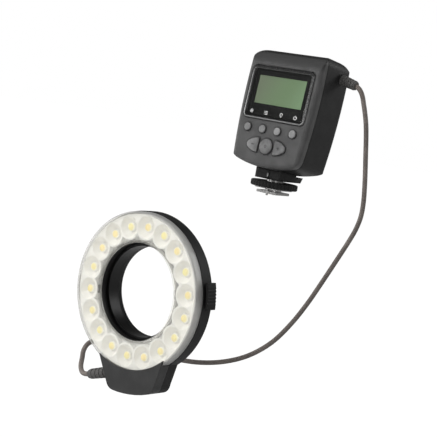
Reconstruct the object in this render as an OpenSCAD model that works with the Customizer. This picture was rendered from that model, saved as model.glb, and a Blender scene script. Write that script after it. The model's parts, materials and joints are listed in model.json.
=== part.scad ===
// Macro ring flash: a ring of lamps for the front of a lens, a control unit for the hot shoe, and the cord
// that joins them. Millimetres, +Z up, lamps facing -Y. The origin is the middle of the foot's underside.

/* [Arrangement] */
// Distance of the lamp plane ahead of the foot
ring_ahead = 140; // [120:1:180]
// Distance of the lens axis below the foot
ring_below = 76.1; // [68:0.1:88]
// Turn of the ring head about the lens axis
ring_turn = 10; // [-20:1:20]

/* [Ring head] */
// Lamp circle beyond the adapter
lamp_out = 11; // [10:0.25:11.5]
// Number of lamps
led_count = 18; // [12:1:20]
// Side of one lamp body
led_side = 5; // [4:0.25:5.5]
// Height of one lamp body
led_h = 1.5; // [1:0.1:2]
// Side of a lamp's yellow face
phosphor_side = 3.6; // [2.5:0.1:4]
// Height of a lamp's yellow face
phosphor_h = 0.35; // [0.2:0.05:0.5]
// Radius of a reflector cup at its mouth
cup_mouth_r = 7.85; // [7:0.05:7.95]
// Radius of a reflector cup at the lamp
cup_floor_r = 4; // [3.9:0.1:4.5]
// Radius of the scallop round each cup, on the side of the hole
scallop_r = 9.2; // [8.6:0.1:9.4]
// Cover beyond the lamp circle
cover_out = 10.5; // [10:0.25:12]
// Wall of the clear cover
cover_wall = 1.6; // [1:0.1:2]
// Front-to-back depth of the clear cover
cover_depth = 7; // [6.5:0.25:8]
// Distance of the cover's front ahead of the lamp plane
cover_ahead = 3.5; // [3:0.25:4]
// Round of the cover's outer front edge
cover_outer_round = 1.8; // [1.7:0.1:3]
// Round of the cover's inner front edge
cover_inner_round = 3; // [2:0.1:3.4]
// Depth of the cover's inner wall
cover_core_depth = 3.8; // [3.5:0.1:5]
// Hole inside the adapter's outside
hole_lap = 0.5; // [0.2:0.1:1]
// How far the rear housing stands out past the clear cover
housing_step = 0.5; // [0.2:0.1:1]
// Outer wall of the rear housing
housing_wall = 2.4; // [1.8:0.1:3]
// Lamp board thickness
board_t = 1.6; // [1:0.2:2]
// Thickness of the deck under the lamp board
deck_t = 1.4; // [1:0.1:2]
// Depth of the latch space behind the deck
latch_space = 6; // [5.8:0.1:8]
// Back plate thickness
back_plate_t = 1.6; // [1.4:0.1:3]

/* [Chin] */
// Chin below the cover
chin_below = 15.1; // [13.5:0.1:19]
// Half width of the chin at its horns
chin_top_half = 30; // [28:0.5:32]
// Half width of the chin above its lower corners
chin_low_half = 22.6; // [21:0.2:25]
// Radius of the chin's lower corners
chin_corner_r = 7.6; // [6:0.2:9]
// Rise of the chin's lower edge from its middle to its corners
chin_bow = 1.5; // [0.5:0.1:2]
// Horns inside the cover's radius
horn_in = 11; // [8.5:0.5:12.5]
// How far the chin stands ahead of the clear cover
chin_proud = 1.3; // [1:0.1:2]
// Wall of the chin
chin_wall = 1.8; // [1.4:0.1:2.2]
// Chin lapped over the cover
chin_lap = 2.1; // [1.5:0.1:3.5]
// Round of the chin's front edge
chin_round = 2.6; // [1:0.2:3]
// Distance of the chin's screws in from its lower corners
chin_screw_in = 2.8; // [2.6:0.1:3.2]
// Chin screws below the cover
chin_screw_below = 7.5; // [7.3:0.1:8.1]

/* [Adapter and latches] */
// Outer radius of the adapter ring in the sleeve
adapter_r = 35; // [30:0.05:39]
// Wall of the adapter
adapter_wall = 2.8; // [2.6:0.1:5]
// Lens thread inside the adapter's outside
thread_in = 1.5; // [1:0.25:2]
// Length of the lens thread
thread_len = 3.6; // [2.5:0.1:5]
// Grip rim beyond the adapter
grip_out = 2.6; // [1.5:0.1:4]
// Thickness of the adapter's grip flange
grip_t = 2.1; // [1.6:0.1:3]
// Depth of the groove that the claws hold
groove_d = 1.3; // [1:0.1:1.4]
// Wall of the inner sleeve
sleeve_wall = 1.24; // [1:0.02:1.3]
// Inward travel of a latch
latch_travel = 1.6; // [1:0.1:1.8]
// Thickness of a latch slider
slider_t = 1.4; // [1:0.1:1.6]
// Latch sliders beyond the adapter
slider_out = 12.5; // [12:0.1:13]
// Height of a latch pad
pad_h = 18.4; // [15:0.2:20]
// Front-to-back depth of a latch pad
pad_d = 8.6; // [7:0.1:9]
// Thickness of a latch pad
pad_t = 2.1; // [1.6:0.1:3]
// Radius of a latch spring at its wire
spring_r = 1.55; // [1.2:0.05:1.7]
// Wire diameter of a latch spring
spring_wire = 0.45; // [0.3:0.05:0.6]

/* [Control unit] */
// Width of the case
case_w = 63; // [62.6:0.2:66]
// Depth of the case
case_d = 41; // [40.6:0.2:44]
// Height of the case
case_h = 93; // [92:0.5:98]
// Lean of the case back from upright
case_lean = 6; // [0:0.5:8]
// Distance of the face's lower end ahead of the foot's middle
face_ahead = 21.9; // [20:0.1:24]
// Height of the case's lean line above the foot's underside
lean_line_z = 6.9; // [5:0.1:9]
// Height of the case's lowest point above its lean line
case_base = 13; // [12.5:0.1:14]
// Wall of the case
wall = 2; // [1.6:0.1:2.2]
// Depth of the front shell
seam_y = 7; // [6:0.5:8]
// Radius of the case's front top roll
roll_front_r = 16; // [12:0.5:16]
// Radius of the case's rear top roll
roll_rear_r = 14; // [10:0.5:16]
// Round of the edges beside the face
edge_r = 3.5; // [2.6:0.1:4]
// Round of the rear edges
rear_edge_r = 5; // [3:0.1:6]
// Round of the lower corners of the face
low_corner_r = 8; // [6:0.5:12]
// Radius of the face's bowed lower edge
bow_r = 97; // [80:1:140]
// How far each side bulges beyond its foot
side_bulge = 3.1; // [1.5:0.1:4]
// Height where the sides bulge most
bulge_up = 75; // [65:1:85]
// Round of the face's upper corners
high_corner_r = 8; // [5:0.5:10]

/* [Display and buttons] */
// Distance of the display frame's side from the case's side
frame_inset = 2.2; // [2.1:0.1:3.5]
// Height of the display frame
frame_h = 41.4; // [38:0.2:42]
// Height of the display frame's middle up the face
frame_mid = 70.3; // [69.5:0.1:70.6]
// Border of the display frame
frame_border = 2.4; // [2:0.1:3]
// How far the display frame stands out from the face
frame_proud = 0.9; // [0.4:0.1:1.2]
// Width of the groove round the frame
frame_groove = 0.7; // [0.3:0.1:0.8]
// Width of the display
lcd_w = 45.2; // [40:0.2:46]
// Height of the display
lcd_h = 22.2; // [20:0.2:24]
// Height of the display's middle up the face
lcd_mid = 72.8; // [70:0.1:74]
// Radius of a small button
small_button_r = 3.1; // [2.6:0.1:3.4]
// Distance of the outer small buttons from the case's side
small_button_inset = 9.9; // [9.6:0.1:11.4]
// Height of the small buttons up the face
small_button_up = 42.2; // [41:0.1:43]
// Radius of the middle button
set_button_r = 6; // [5:0.1:6.2]
// Height of the large buttons up the face
large_button_up = 29.4; // [28.6:0.1:30]
// How far the outer ends of the large buttons lie from the middle
large_button_reach = 18.4; // [17:0.1:19]
// Height of the large side buttons
side_button_h = 11.4; // [9:0.1:11.8]
// Travel of a button
button_travel = 0.8; // [0.4:0.1:0.9]
// How far the buttons stand out from the face
button_proud = 1.2; // [0.9:0.1:1.6]

/* [Power] */
// Gap beside a battery cell
cell_gap = 0.2; // [0.15:0.05:0.4]
// Room between the cells and the battery door
cell_back_gap = 2.7; // [2.4:0.1:3]
// Length of a battery cell with its nub
cell_len = 50.5; // [49:0.1:51]
// Length of a battery spring in use
cell_spring_len = 5.5; // [4.5:0.1:6.5]
// Thickness of the battery door
door_t = 2.2; // [1.8:0.1:2.4]
// Distance of the battery door's side from the case's side
door_inset = 3.6; // [3.5:0.1:6]
// Radius of the door's hinge knuckle
knuckle_r = 1.7; // [1.5:0.05:1.8]
// Radius of the door's hinge pin
hinge_pin_r = 0.8; // [0.6:0.05:0.9]

/* [Shoe] */
// Width of the foot, the standard shoe size
foot_w = 18.6; // [18.4:0.05:18.7]
// Length of the foot
foot_len = 18.6; // [18:0.1:19]
// Thickness of the foot
foot_t = 2; // [1.9:0.02:2.06]
// Thickness of the shoe's rails
rail_t = 1.6; // [1.4:0.1:2]
// Radius of the foot's threaded stem
stem_r = 6.5; // [6.2:0.1:6.7]
// Radius of the lock wheel
wheel_r = 18.6; // [16:0.1:20]
// Thickness of the lock wheel
wheel_t = 4.5; // [4:0.1:5]
// Lift of the clamp as the wheel is undone
clamp_lift = 1.4; // [1:0.1:1.5]
// Thickness of the clamp plate
clamp_t = 1; // [0.8:0.1:1.2]
// Half width of the neck block
neck_half = 12.2; // [12:0.1:14]
// Half length of the neck block
neck_half_len = 10.5; // [10:0.1:12]

/* [Cord] */
// Diameter of the cord
cord_d = 3.7; // [3.4:0.1:4.4]
// Length of the strain relief at the chin
ring_boot_len = 24; // [20:0.5:28]
// Length of the strain relief at the case
case_boot_len = 13.6; // [12:0.1:18]
// Root radius of a strain relief
boot_root_r = 4.3; // [3.9:0.1:4.5]
// Tip radius of a strain relief
boot_tip_r = 3.7; // [3.2:0.1:4]
// Fall of the case's strain relief below level
case_boot_fall = 13; // [5:1:20]
// Fall of the chin's strain relief below level
ring_boot_fall = 10; // [6:1:14]

/* [Fits] */
// Radial gap of a running fit
running_gap = 0.06; // [0.03:0.01:0.1]
// Radial gap of a fixed round fit
fixed_gap = 0.1; // [0.05:0.01:0.15]
// Gap between pieces that move past each other
moving_gap = 0.3; // [0.25:0.05:0.35]
// Gap round a piece that is set in place
seat_gap = 0.25; // [0.15:0.05:0.3]
// Shank radius of the screws
screw_r = 0.95; // [0.8:0.05:1]
// Head radius of the screws
screw_head_r = 1.8; // [1.5:0.05:1.9]
// Head height of the screws
screw_head_h = 1.2; // [0.9:0.1:1.4]

/* [Hidden] */
$fn = 96;
eps = 0.01;

// Ring head levels along the lens axis, with the lamp plane at 0 and the front positive
lamp_top = -0.5;
cover_front = cover_ahead;
cover_back = cover_front - cover_depth;
board_top = lamp_top - phosphor_h - led_h;
board_back = board_top - board_t;
deck_back = board_back - deck_t;
plate_front = deck_back - latch_space;
plate_back = plate_front - back_plate_t;
chin_front = cover_front + chin_proud;
chin_screw_x = chin_low_half - chin_screw_in;

// Ring head radii
led_circle_r = adapter_r + lamp_out;
cover_r = led_circle_r + cover_out;
hole_r = adapter_r - hole_lap;
adapter_bore_r = adapter_r - adapter_wall;
thread_r = adapter_r - thread_in;
grip_r = adapter_r + grip_out;
slider_r = adapter_r + slider_out;
chin_drop = cover_r + chin_below;
horn_drop = cover_r - horn_in;
chin_lap_r = cover_r - chin_lap;
chin_screw_drop = cover_r + chin_screw_below;
cover_inner_r = cover_r - cover_wall;
cover_core_r = hole_r + cover_wall;
cavity_round = 0.4;
insert_r = cover_inner_r - moving_gap;
insert_hole_r = cover_core_r + moving_gap;
housing_r = cover_r + housing_step;
housing_inner_r = housing_r - housing_wall;
sleeve_bore_r = adapter_r + running_gap;
sleeve_r = sleeve_bore_r + sleeve_wall;
collar_r = sleeve_r + 1.9;
collar_t = 1.2;
slider_hole_r = sleeve_r + latch_travel + 2 * moving_gap;

// Latch levels and places
slider_gap = 0.4;
slider_right_z = deck_back - collar_t - moving_gap - slider_t / 2;
slider_left_z = slider_right_z - slider_t - slider_gap;
claw_tip = sleeve_bore_r - 0.86;
claw_half = 4.5;
stem_half = 6;
pad_inner = housing_r + latch_travel + moving_gap;
pad_mid = (plate_back + cover_back) / 2;
post_r = 2.2;
post_x = 10;
post_y = slider_r - 5.5;
lug_y = 16;
lug_half = 2.5;
lug_out = slider_r - 1;
seat_in = slider_r + 4;
groove_front = slider_right_z + slider_t / 2 + slider_gap;
groove_back = slider_left_z - slider_t / 2 - slider_gap;
adapter_front = groove_front + 0.9;
sleeve_lip = adapter_front + 0.2;
sleeve_top = cover_front - cover_core_depth - fixed_gap;
grip_front = plate_back - moving_gap;

// Case levels
case_top = case_base + case_h;
half_w = case_w / 2;
side_half = half_w + side_bulge;
side_r = (pow(bulge_up - case_base - 6, 2) + side_bulge * side_bulge) / (2 * side_bulge);
side_mid = [side_half - side_r, bulge_up];
bow_mid = [0, case_base + bow_r];
low_corner_mid = circle_meet(side_mid, side_r - low_corner_r, bow_mid, bow_r - low_corner_r);
high_corner_mid = [side_x(case_top - high_corner_r, high_corner_r), case_top - high_corner_r];
frame_w = case_w - 2 * frame_inset;
small_button_step = 2 * (half_w - small_button_inset) / 3;
door_w = case_w - 2 * door_inset;
cell_step = (case_w - 2 * wall - 2 * moving_gap) / 4;
cell_r = cell_step / 2 - cell_gap;
board_y = 9;
pcb_t = 1.6;
pocket_d = 1.2;
frame_low = frame_mid - frame_h / 2;
frame_high = frame_mid + frame_h / 2;
frame_r = 4;
window_fit = 0.2;
window_border = frame_border + window_fit;
ledge = 3.6;
mask_t = 0.3;
tray_wall = 1.6;
tray_front = case_d - door_t - cell_back_gap - 2 * cell_r - moving_gap - tray_wall;
tray_low = case_base + 11;
plate_t = 0.4;
bay_low = tray_low + tray_wall;
bay_high = bay_low + cell_len + cell_spring_len + 2 * plate_t;
tray_high = bay_high + tray_wall;
cell_y = tray_front + tray_wall + moving_gap + cell_r;
cell_nub = 1;
door_low = tray_low + 2.3;
door_high = tray_high + 1.7;
hinge_y = case_d - knuckle_r;
hinge_z = tray_low;
knuckle_half = 12;
lug_end = 20;
case_screw_low = [half_w - 9.5, case_base + 7];
case_screw_high = [half_w - 11.5, case_top - 9];
board_half = half_w - 2.5;
board_low = case_base + 11;
board_high = case_top - 13;
board_post_x = board_half - 1.8;
board_post_low = board_low + 12;
board_post_high = board_high - 4;
board_screw_end = 4.8;
case_post_end = seam_y;
case_screw_seat = case_post_end + 3;
case_screw_end = 5;
neck_screw_x = 8.5;
neck_screw_y = [13, 27];
neck_grip = 2.4;
side_button_x = 12.7;

// Shoe levels
clamp_z = foot_t + rail_t;
wheel_z = clamp_z + clamp_t + moving_gap;
neck_z = wheel_z + wheel_t + clamp_lift + 1.3 * moving_gap;
stem_top = neck_z + 2.4;
lock_pin_r = 0.9;
lock_pin_y = -stem_r - moving_gap - lock_pin_r - fixed_gap;
lock_pin_reach = 1.5;
carrier_r = 4.5;
carrier_h = 5.5;
contact_r = 0.75;
contact_ring_r = 2.9;
contact_reach = 0.7;

// Strain reliefs: the place on each wall, and how far each collar stands out
case_boot_up = 93;
case_boot_at = [side_x(case_boot_up, 0), 26.8, case_boot_up];
ring_boot_at = [-24.3, -cover_r - 2.1];
boot_collar_r = 3.9;
ring_boot_level = cover_back - boot_collar_r - 0.02;
collar_out = 2.2;
boot_neck_r = 2.6;

// The cord's route, from the case's strain relief to the chin's
cord_route = [
  [53, 13.9, 91.2], [55.7, 13.6, 88.5], [57.9, 13.1, 85.2], [59.9, 12.5, 81.2], [63.2, 11.8, 73.8],
  [66.2, 11.3, 65.4], [68.7, 11, 54.9], [70.8, 11, 43.5], [73, 11, 31.5],
  [75, 11, 19.5], [76.4, 11, 8.3], [76.5, 11, -2.5], [74.6, 10.4, -12.9], [71.4, 8.8, -23.1],
  [67.8, 6, -34.1], [64.4, 1.4, -46.5], [61, -4.4, -60.1], [57, -11, -75.1], [51.6, -19, -91.1],
  [44, -29, -107.1], [33, -40, -119.5], [20, -50.6, -127.1], [6, -61, -131.1], [-8, -70.6, -132.1],
  [-21, -79.4, -131.3], [-33, -87.4, -129.9], [-43.2, -95, -129.3], [-51, -102, -128.7],
  [-56.2, -108.6, -128.3], [-59.2, -113.8, -129.1], [-60.1, -118, -131.7], [-59, -121.7, -135.8],
  [-56.7, -124.2, -139.5], [-54.1, -127.1, -145.2], [-50.4, -129.2, -148.2], [-45.5, -131.2, -148.7]
];

// Helpers

// A rectangle with its own round at each corner: low left, low right, high right, high left
module round_rect(x0, x1, y0, y1, r) {
  corners = [[x0, y0, 1, 1], [x1, y0, -1, 1], [x1, y1, -1, -1], [x0, y1, 1, -1]];
  difference() {
    translate([x0, y0]) square([x1 - x0, y1 - y0]);
    for (i = [0:3]) {
      c = corners[i];
      translate([c[0], c[1]]) scale([c[2], c[3]]) difference() {
        translate([-1, -1]) square(r[i] + 1);
        translate([r[i], r[i]]) circle(r[i]);
      }
    }
  }
}

// A block given by its low and high corners
module block(low, high) {
  translate(low) cube(high - low);
}

// Carries a piece from the ring head's own frame, where z is forward and y is up
module on_ring() {
  translate([0, -ring_ahead, -ring_below]) rotate([0, -ring_turn, 0]) rotate([90, 0, 0]) children();
}

// Carries a piece from the case's own frame, where y is depth behind the face and z is up the face
module on_case() {
  translate([0, -face_ahead, lean_line_z]) rotate([-case_lean, 0, 0]) children();
}

// Sweeps an outline drawn on the face, x across and y up, from one depth to another
module on_face(y0, y1) {
  translate([0, y1, 0]) rotate([90, 0, 0]) linear_extrude(y1 - y0) children();
}

function unit(v) = v / norm(v);

// Point at parameter t on the smooth curve through a, b, c and d, between b and c
function curve_point(a, b, c, d, t) =
  0.5 * (2 * b + (c - a) * t + (2 * a - 5 * b + 4 * c - d) * t * t + (3 * b - a - 3 * c + d) * t * t * t);

// Path through a list of points, straight between the first two and the last two and smooth in between
function smooth_path(p, steps) = concat(
  [p[0]],
  [for (i = [1:len(p) - 3]) for (k = [0:steps - 1])
    curve_point(p[i - 1], p[i], p[i + 1], p[i + 2], k / steps)],
  [p[len(p) - 2], p[len(p) - 1]]);

function path_dir(p, i) = unit(p[min(i + 1, len(p) - 1)] - p[max(i - 1, 0)]);

// A side vector at each point of a path, carried along without twist
function path_sides(p) = let (d0 = path_dir(p, 0),
    n0 = unit(cross(d0, abs(d0[2]) < 0.9 ? [0, 0, 1] : [1, 0, 0])))
  [for (i = 0, n = n0; i < len(p); i = i + 1,
    n = i < len(p) ? unit(n - (n * path_dir(p, i)) * path_dir(p, i)) : n) n];

// A closed tube along a path, with triangles only
module tube(p, r, sides) {
  s = path_sides(p);
  last = len(p) - 1;
  points = concat(
    [for (i = [0:last]) let (d = path_dir(p, i), n = s[i], b = cross(d, n))
      for (k = [0:sides - 1]) p[i] + r * (cos(360 * k / sides) * n + sin(360 * k / sides) * b)],
    [p[0], p[last]]);
  start = len(points) - 2;
  faces = concat(
    [for (i = [0:last - 1]) for (k = [0:sides - 1])
      [i * sides + k, (i + 1) * sides + (k + 1) % sides, i * sides + (k + 1) % sides]],
    [for (i = [0:last - 1]) for (k = [0:sides - 1])
      [i * sides + k, (i + 1) * sides + k, (i + 1) * sides + (k + 1) % sides]],
    [for (k = [0:sides - 1]) [start, k, (k + 1) % sides]],
    [for (k = [0:sides - 1]) [start + 1, last * sides + (k + 1) % sides, last * sides + k]]);
  polyhedron(points, faces);
}

// Points of a coil that climbs along z, from radius r0 to radius r1
function coil_points(r0, r1, length, turns, per_turn) =
  [for (i = [0:turns * per_turn]) let (t = i / (turns * per_turn), r = r0 + (r1 - r0) * t)
    [r * cos(360 * turns * t), r * sin(360 * turns * t), length * t]];

// Least gap between one turn of a coil and the next
function coil_gap(p, per_turn, wire) =
  min([for (i = [0:len(p) - 1 - per_turn]) norm(p[i] - p[i + per_turn])]) - wire;

module coil_spring(r0, r1, wire, length, turns) {
  per_turn = 8;
  sides = 6;
  p = coil_points(r0, r1, length - wire - 2 * eps, turns, per_turn);
  echo("least gap between turns", coil_gap(p, per_turn, wire));
  translate([0, 0, wire / 2 + eps]) tube(p, wire / 2, sides);
}

// A screw that points along -z, with its head above z = 0
module screw(length) {
  translate([0, 0, -length]) cylinder(r = screw_r, h = length + eps, $fn = 32);
  cylinder(r = screw_head_r, h = screw_head_h, $fn = 48);
}

// A ribbed strain relief along z. Its neck goes back through a collar, and z = 0 is the collar's face
module boot(length, ribs) {
  neck = 5.5;
  lip_r = boot_neck_r + 0.9;
  lip_t = 1.2;
  rib_h = 0.45;
  step = length / ribs;
  body = [for (i = [0:ribs - 1]) for (q = [[0, rib_h], [0.55, rib_h], [0.55, 0], [1, 0]])
    [boot_root_r - rib_h + (boot_tip_r - boot_root_r) * (i + q[0]) / ribs + q[1], (i + q[0]) * step]];
  rotate_extrude() polygon(concat(
    [[0, -neck - lip_t], [lip_r, -neck - lip_t], [lip_r, -neck], [boot_neck_r, -neck], [boot_neck_r, 0]],
    body, [[cord_d / 2 + running_gap, length], [cord_d / 2 + running_gap, length - cord_d], [0, length - cord_d]]));
}

// Ring head pieces

module cover_outline() {
  difference() {
    round_rect(hole_r, cover_r, cover_back, cover_front, [0, 0, cover_outer_round, cover_inner_round]);
    translate([0, -1]) round_rect(cover_core_r, cover_inner_r, cover_back, cover_front - cover_wall + 1,
      [0, 0, cavity_round, cavity_round]);
    translate([hole_r - 1, cover_back - 1]) square([cover_wall + 2, cover_depth - cover_core_depth + 1]);
  }
}

module clear_cover() {
  color("#e4e6e8") on_ring() rotate_extrude() cover_outline();
}

module at_lamps() {
  for (i = [0:led_count - 1]) rotate([0, 0, 360 * i / led_count]) translate([led_circle_r, 0, 0]) children();
}

module ring_slab(r_in, r_out, z0, z1) {
  translate([0, 0, z0]) linear_extrude(z1 - z0) difference() {
    circle(r_out);
    circle(r_in);
  }
}

module reflector() {
  top = cover_front - cover_wall - moving_gap;
  mouth_r = min(cup_mouth_r, led_circle_r * sin(180 / led_count) - 0.12);
  color("#f0f0ee") on_ring() difference() {
    translate([0, 0, board_top]) linear_extrude(top - board_top) difference() {
      intersection() {
        circle(insert_r);
        union() {
          difference() {
            circle(insert_r + 1);
            circle(led_circle_r);
          }
          at_lamps() circle(scallop_r);
        }
      }
      circle(insert_hole_r);
    }
    translate([0, 0, board_top - eps]) at_lamps()
      cylinder(r1 = cup_floor_r, r2 = mouth_r, h = top - board_top + 2 * eps, $fn = 48);
  }
}

module led_board() {
  color("#dfe3da") on_ring() ring_slab(insert_hole_r, insert_r, board_back, board_top);
}

module lamp_squares(side, z0, height) {
  translate([0, 0, z0]) at_lamps() translate([-side / 2, -side / 2, 0]) cube([side, side, height]);
}

module led_packages() {
  color("#fbfbf6") on_ring() lamp_squares(led_side, board_top, led_h);
}

module led_phosphors() {
  color("#f0df7c") on_ring() lamp_squares(phosphor_side, board_top + led_h, phosphor_h);
}

// Right half of the chin's outline, from the lowest point up to the horn, drawn in by a margin
function chin_half(inset) = let (
    corner_r = chin_corner_r - inset / 2,
    low_x = chin_low_half - inset,
    corner_y = -chin_drop + chin_bow + inset + corner_r,
    bow_x = low_x - corner_r + corner_r * cos(-80))
  concat(
    [for (f = [0, 0.35, 0.7]) [f * bow_x, -chin_drop + inset + chin_bow * f * f]],
    [for (k = [0:6]) let (a = -80 + 70 * k / 6)
      [low_x - corner_r + corner_r * cos(a), corner_y + corner_r * sin(a)]],
    [[chin_top_half - inset, -horn_drop]]);

module chin_outline(inset) {
  right = chin_half(inset);
  left = [for (i = [len(right) - 1:-1:1]) [-right[i][0], right[i][1]]];
  polygon(concat(right, [[0, -horn_drop + 4]], left));
}

module chin_block(inset, z0, z1) {
  translate([0, 0, z0]) linear_extrude(z1 - z0) chin_outline(inset);
}

module chin_cavity(z0, z1, keep_r) {
  difference() {
    chin_block(chin_wall, z0, z1);
    translate([0, 0, z0 - 1]) cylinder(r = keep_r, h = z1 - z0 + 2);
  }
}

module at_chin_screws() {
  for (s = [-1, 1]) translate([s * chin_screw_x, -chin_screw_drop, 0]) children();
}

// Carries a piece so that its z runs out along the chin's strain relief
module at_ring_boot() {
  translate([ring_boot_at[0], ring_boot_at[1], ring_boot_level]) rotate([0, -90, ring_boot_fall]) children();
}

module chin_front_cover() {
  layers = [[0, 0], [chin_round, 0], [chin_round * 0.35, 0.3], [chin_round * 0.1, 0.62], [0, 1]];
  skin = chin_front - cover_back;
  color("#2b2b2d") on_ring() difference() {
    hull() {
      chin_block(0, cover_back, cover_back + 0.1);
      for (q = layers) chin_block(chin_round * q[1], chin_front - 0.1 - q[0], chin_front - q[0]);
    }
    translate([0, 0, cover_back - 1]) cylinder(r = cover_r + seat_gap, h = cover_depth + 1 + fixed_gap);
    translate([0, 0, cover_back - 1]) cylinder(r = chin_lap_r, h = skin + 2);
    difference() {
      chin_cavity(cover_back - 1, chin_front - chin_wall, cover_r + seat_gap + chin_wall);
      at_chin_screws() translate([0, 0, cover_back]) cylinder(r = post_r, h = skin);
    }
    at_chin_screws() translate([0, 0, cover_back - 1]) cylinder(r = screw_r + fixed_gap, h = 5.5, $fn = 32);
  }
}

module at_posts() {
  for (sx = [-1, 1]) for (sy = [-1, 1]) translate([sx * post_x, sy * post_y, 0]) children();
}

// Slots in the outer wall for the latch stems
module stem_slots() {
  for (q = [[1, slider_right_z], [-1, slider_left_z]])
    translate([q[0] * housing_r, 0, q[1]])
      cube([4 * housing_wall, 2 * (stem_half + moving_gap), slider_t + 2 * moving_gap], center = true);
}

module spring_seats() {
  for (q = [[-1, slider_right_z], [1, slider_left_z]]) intersection() {
    ring_slab(1, housing_r - housing_wall / 2, plate_front, deck_back);
    scale([q[0], 1, 1]) block([seat_in, lug_y - lug_half, q[1] - 2], [housing_r, lug_y + lug_half, q[1] + 2]);
  }
}

module ring_rear_housing() {
  flex_slot = [9, 1.2];
  color("#262628") on_ring() difference() {
    union() {
      difference() {
        union() {
          translate([0, 0, plate_front]) cylinder(r = housing_r, h = cover_back - plate_front);
          chin_block(0, plate_front, cover_back);
        }
        translate([0, 0, plate_front - 1]) cylinder(r = housing_inner_r, h = 1 + latch_space);
        translate([0, 0, board_back]) cylinder(r = cover_inner_r, h = 5);
        chin_cavity(plate_front - 1, cover_back + 1, housing_r);
      }
      translate([0, 0, plate_front]) at_posts() cylinder(r = post_r, h = latch_space + eps, $fn = 48);
      translate([0, 0, plate_front]) at_chin_screws()
        cylinder(r = post_r, h = cover_back - plate_front, $fn = 48);
      spring_seats();
      at_ring_boot() translate([0, 0, -1]) cylinder(r = boot_collar_r, h = collar_out + 1);
    }
    translate([0, 0, deck_back - 1]) cylinder(r = sleeve_r + fixed_gap, h = deck_t + 2);
    stem_slots();
    translate([0, 0, plate_front - 1]) at_posts() cylinder(r = screw_r + running_gap, h = 5, $fn = 32);
    translate([0, 0, plate_front - 1]) at_chin_screws()
      cylinder(r = screw_r + fixed_gap, h = housing_r, $fn = 32);
    at_ring_boot() translate([0, 0, -4]) cylinder(r = boot_neck_r + fixed_gap, h = collar_out + 8);
    translate([-flex_slot[0] / 2, 4.7 - cover_r, deck_back - 1]) cube([flex_slot[0], flex_slot[1], deck_t + 2]);
    translate([-flex_slot[0] / 2, -housing_r - 1, plate_front - eps])
      cube([flex_slot[0], housing_wall + 2, flex_slot[1]]);
  }
}

module inner_sleeve() {
  color("#1c1c1e") on_ring() difference() {
    rotate_extrude() polygon([
      [sleeve_bore_r, plate_back], [sleeve_r, plate_back], [sleeve_r, deck_back - collar_t],
      [collar_r, deck_back - collar_t], [collar_r, deck_back], [sleeve_r, deck_back],
      [sleeve_r, cover_back], [cover_core_r, cover_back], [cover_core_r, sleeve_top], [hole_r, sleeve_top],
      [hole_r, sleeve_lip], [sleeve_bore_r, sleeve_lip]]);
    for (q = [[-1, slider_right_z], [1, slider_left_z]]) translate([q[0] * sleeve_r, 0, q[1]])
      cube([6, 2 * (claw_half + moving_gap), slider_t + 2 * moving_gap], center = true);
  }
}

// A latch slider about its own middle plane: pad at +x, claw at -x. pad_z is the middle of its pad
module slider(pad_z) {
  ribs = 7;
  rib_step = pad_h / (ribs + 1);
  difference() {
    union() {
      ring_slab(slider_hole_r, slider_r, -slider_t / 2, slider_t / 2);
      block([-slider_hole_r - 2, -claw_half, -slider_t / 2], [-claw_tip, claw_half, slider_t / 2]);
      block([slider_r - 3, -stem_half, -slider_t / 2], [pad_inner + pad_t / 2, stem_half, slider_t / 2]);
      block([-lug_out, lug_y - lug_half, -slider_t / 2], [-lug_out + 4, lug_y + lug_half, slider_t / 2]);
      block([-lug_out, lug_y - lug_half, 0], [-lug_out + 1, lug_y + lug_half, spring_r]);
      intersection() {
        ring_slab(pad_inner, pad_inner + pad_t, pad_z - pad_d / 2, pad_z + pad_d / 2);
        block([pad_inner / 2, -pad_h / 2, -20], [2 * pad_inner, pad_h / 2, 20]);
      }
    }
    for (sx = [-1, 1]) for (sy = [-1, 1]) translate([sx * post_x, sy * post_y, 0])
      translate([0, 0, -slider_t]) linear_extrude(2 * slider_t)
        for (k = [-1, 1]) translate([k * latch_travel, 0]) circle(post_r + moving_gap);
    for (sx = [-1, 1]) for (sy = [-1, 1]) translate([sx * post_x, sy * post_y, 0])
      cube([2 * latch_travel, 2 * (post_r + moving_gap), 2 * slider_t], center = true);
    for (i = [1:ribs]) translate([pad_inner + pad_t + 0.15, -pad_h / 2 + i * rib_step, pad_z - pad_d])
      cylinder(r = 0.6, h = 2 * pad_d, $fn = 24);
  }
}

module latch_slider_right() {
  color("#1f1f21") on_ring() translate([0, 0, slider_right_z]) slider(pad_mid - slider_right_z);
}

module latch_slider_left() {
  color("#1f1f21") on_ring() translate([0, 0, slider_left_z])
    rotate([0, 180, 0]) slider(slider_left_z - pad_mid);
}

module latch_coil() {
  turns = 4;
  translate([lug_out, lug_y, 0]) rotate([0, 90, 0])
    coil_spring(spring_r, spring_r, spring_wire, seat_in - lug_out, turns);
}

module latch_spring_right() {
  color("silver") on_ring() translate([0, 0, slider_right_z])
    rotate([0, 0, 180]) mirror([0, 1, 0]) latch_coil();
}

module latch_spring_left() {
  color("silver") on_ring() translate([0, 0, slider_left_z]) latch_coil();
}

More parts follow.
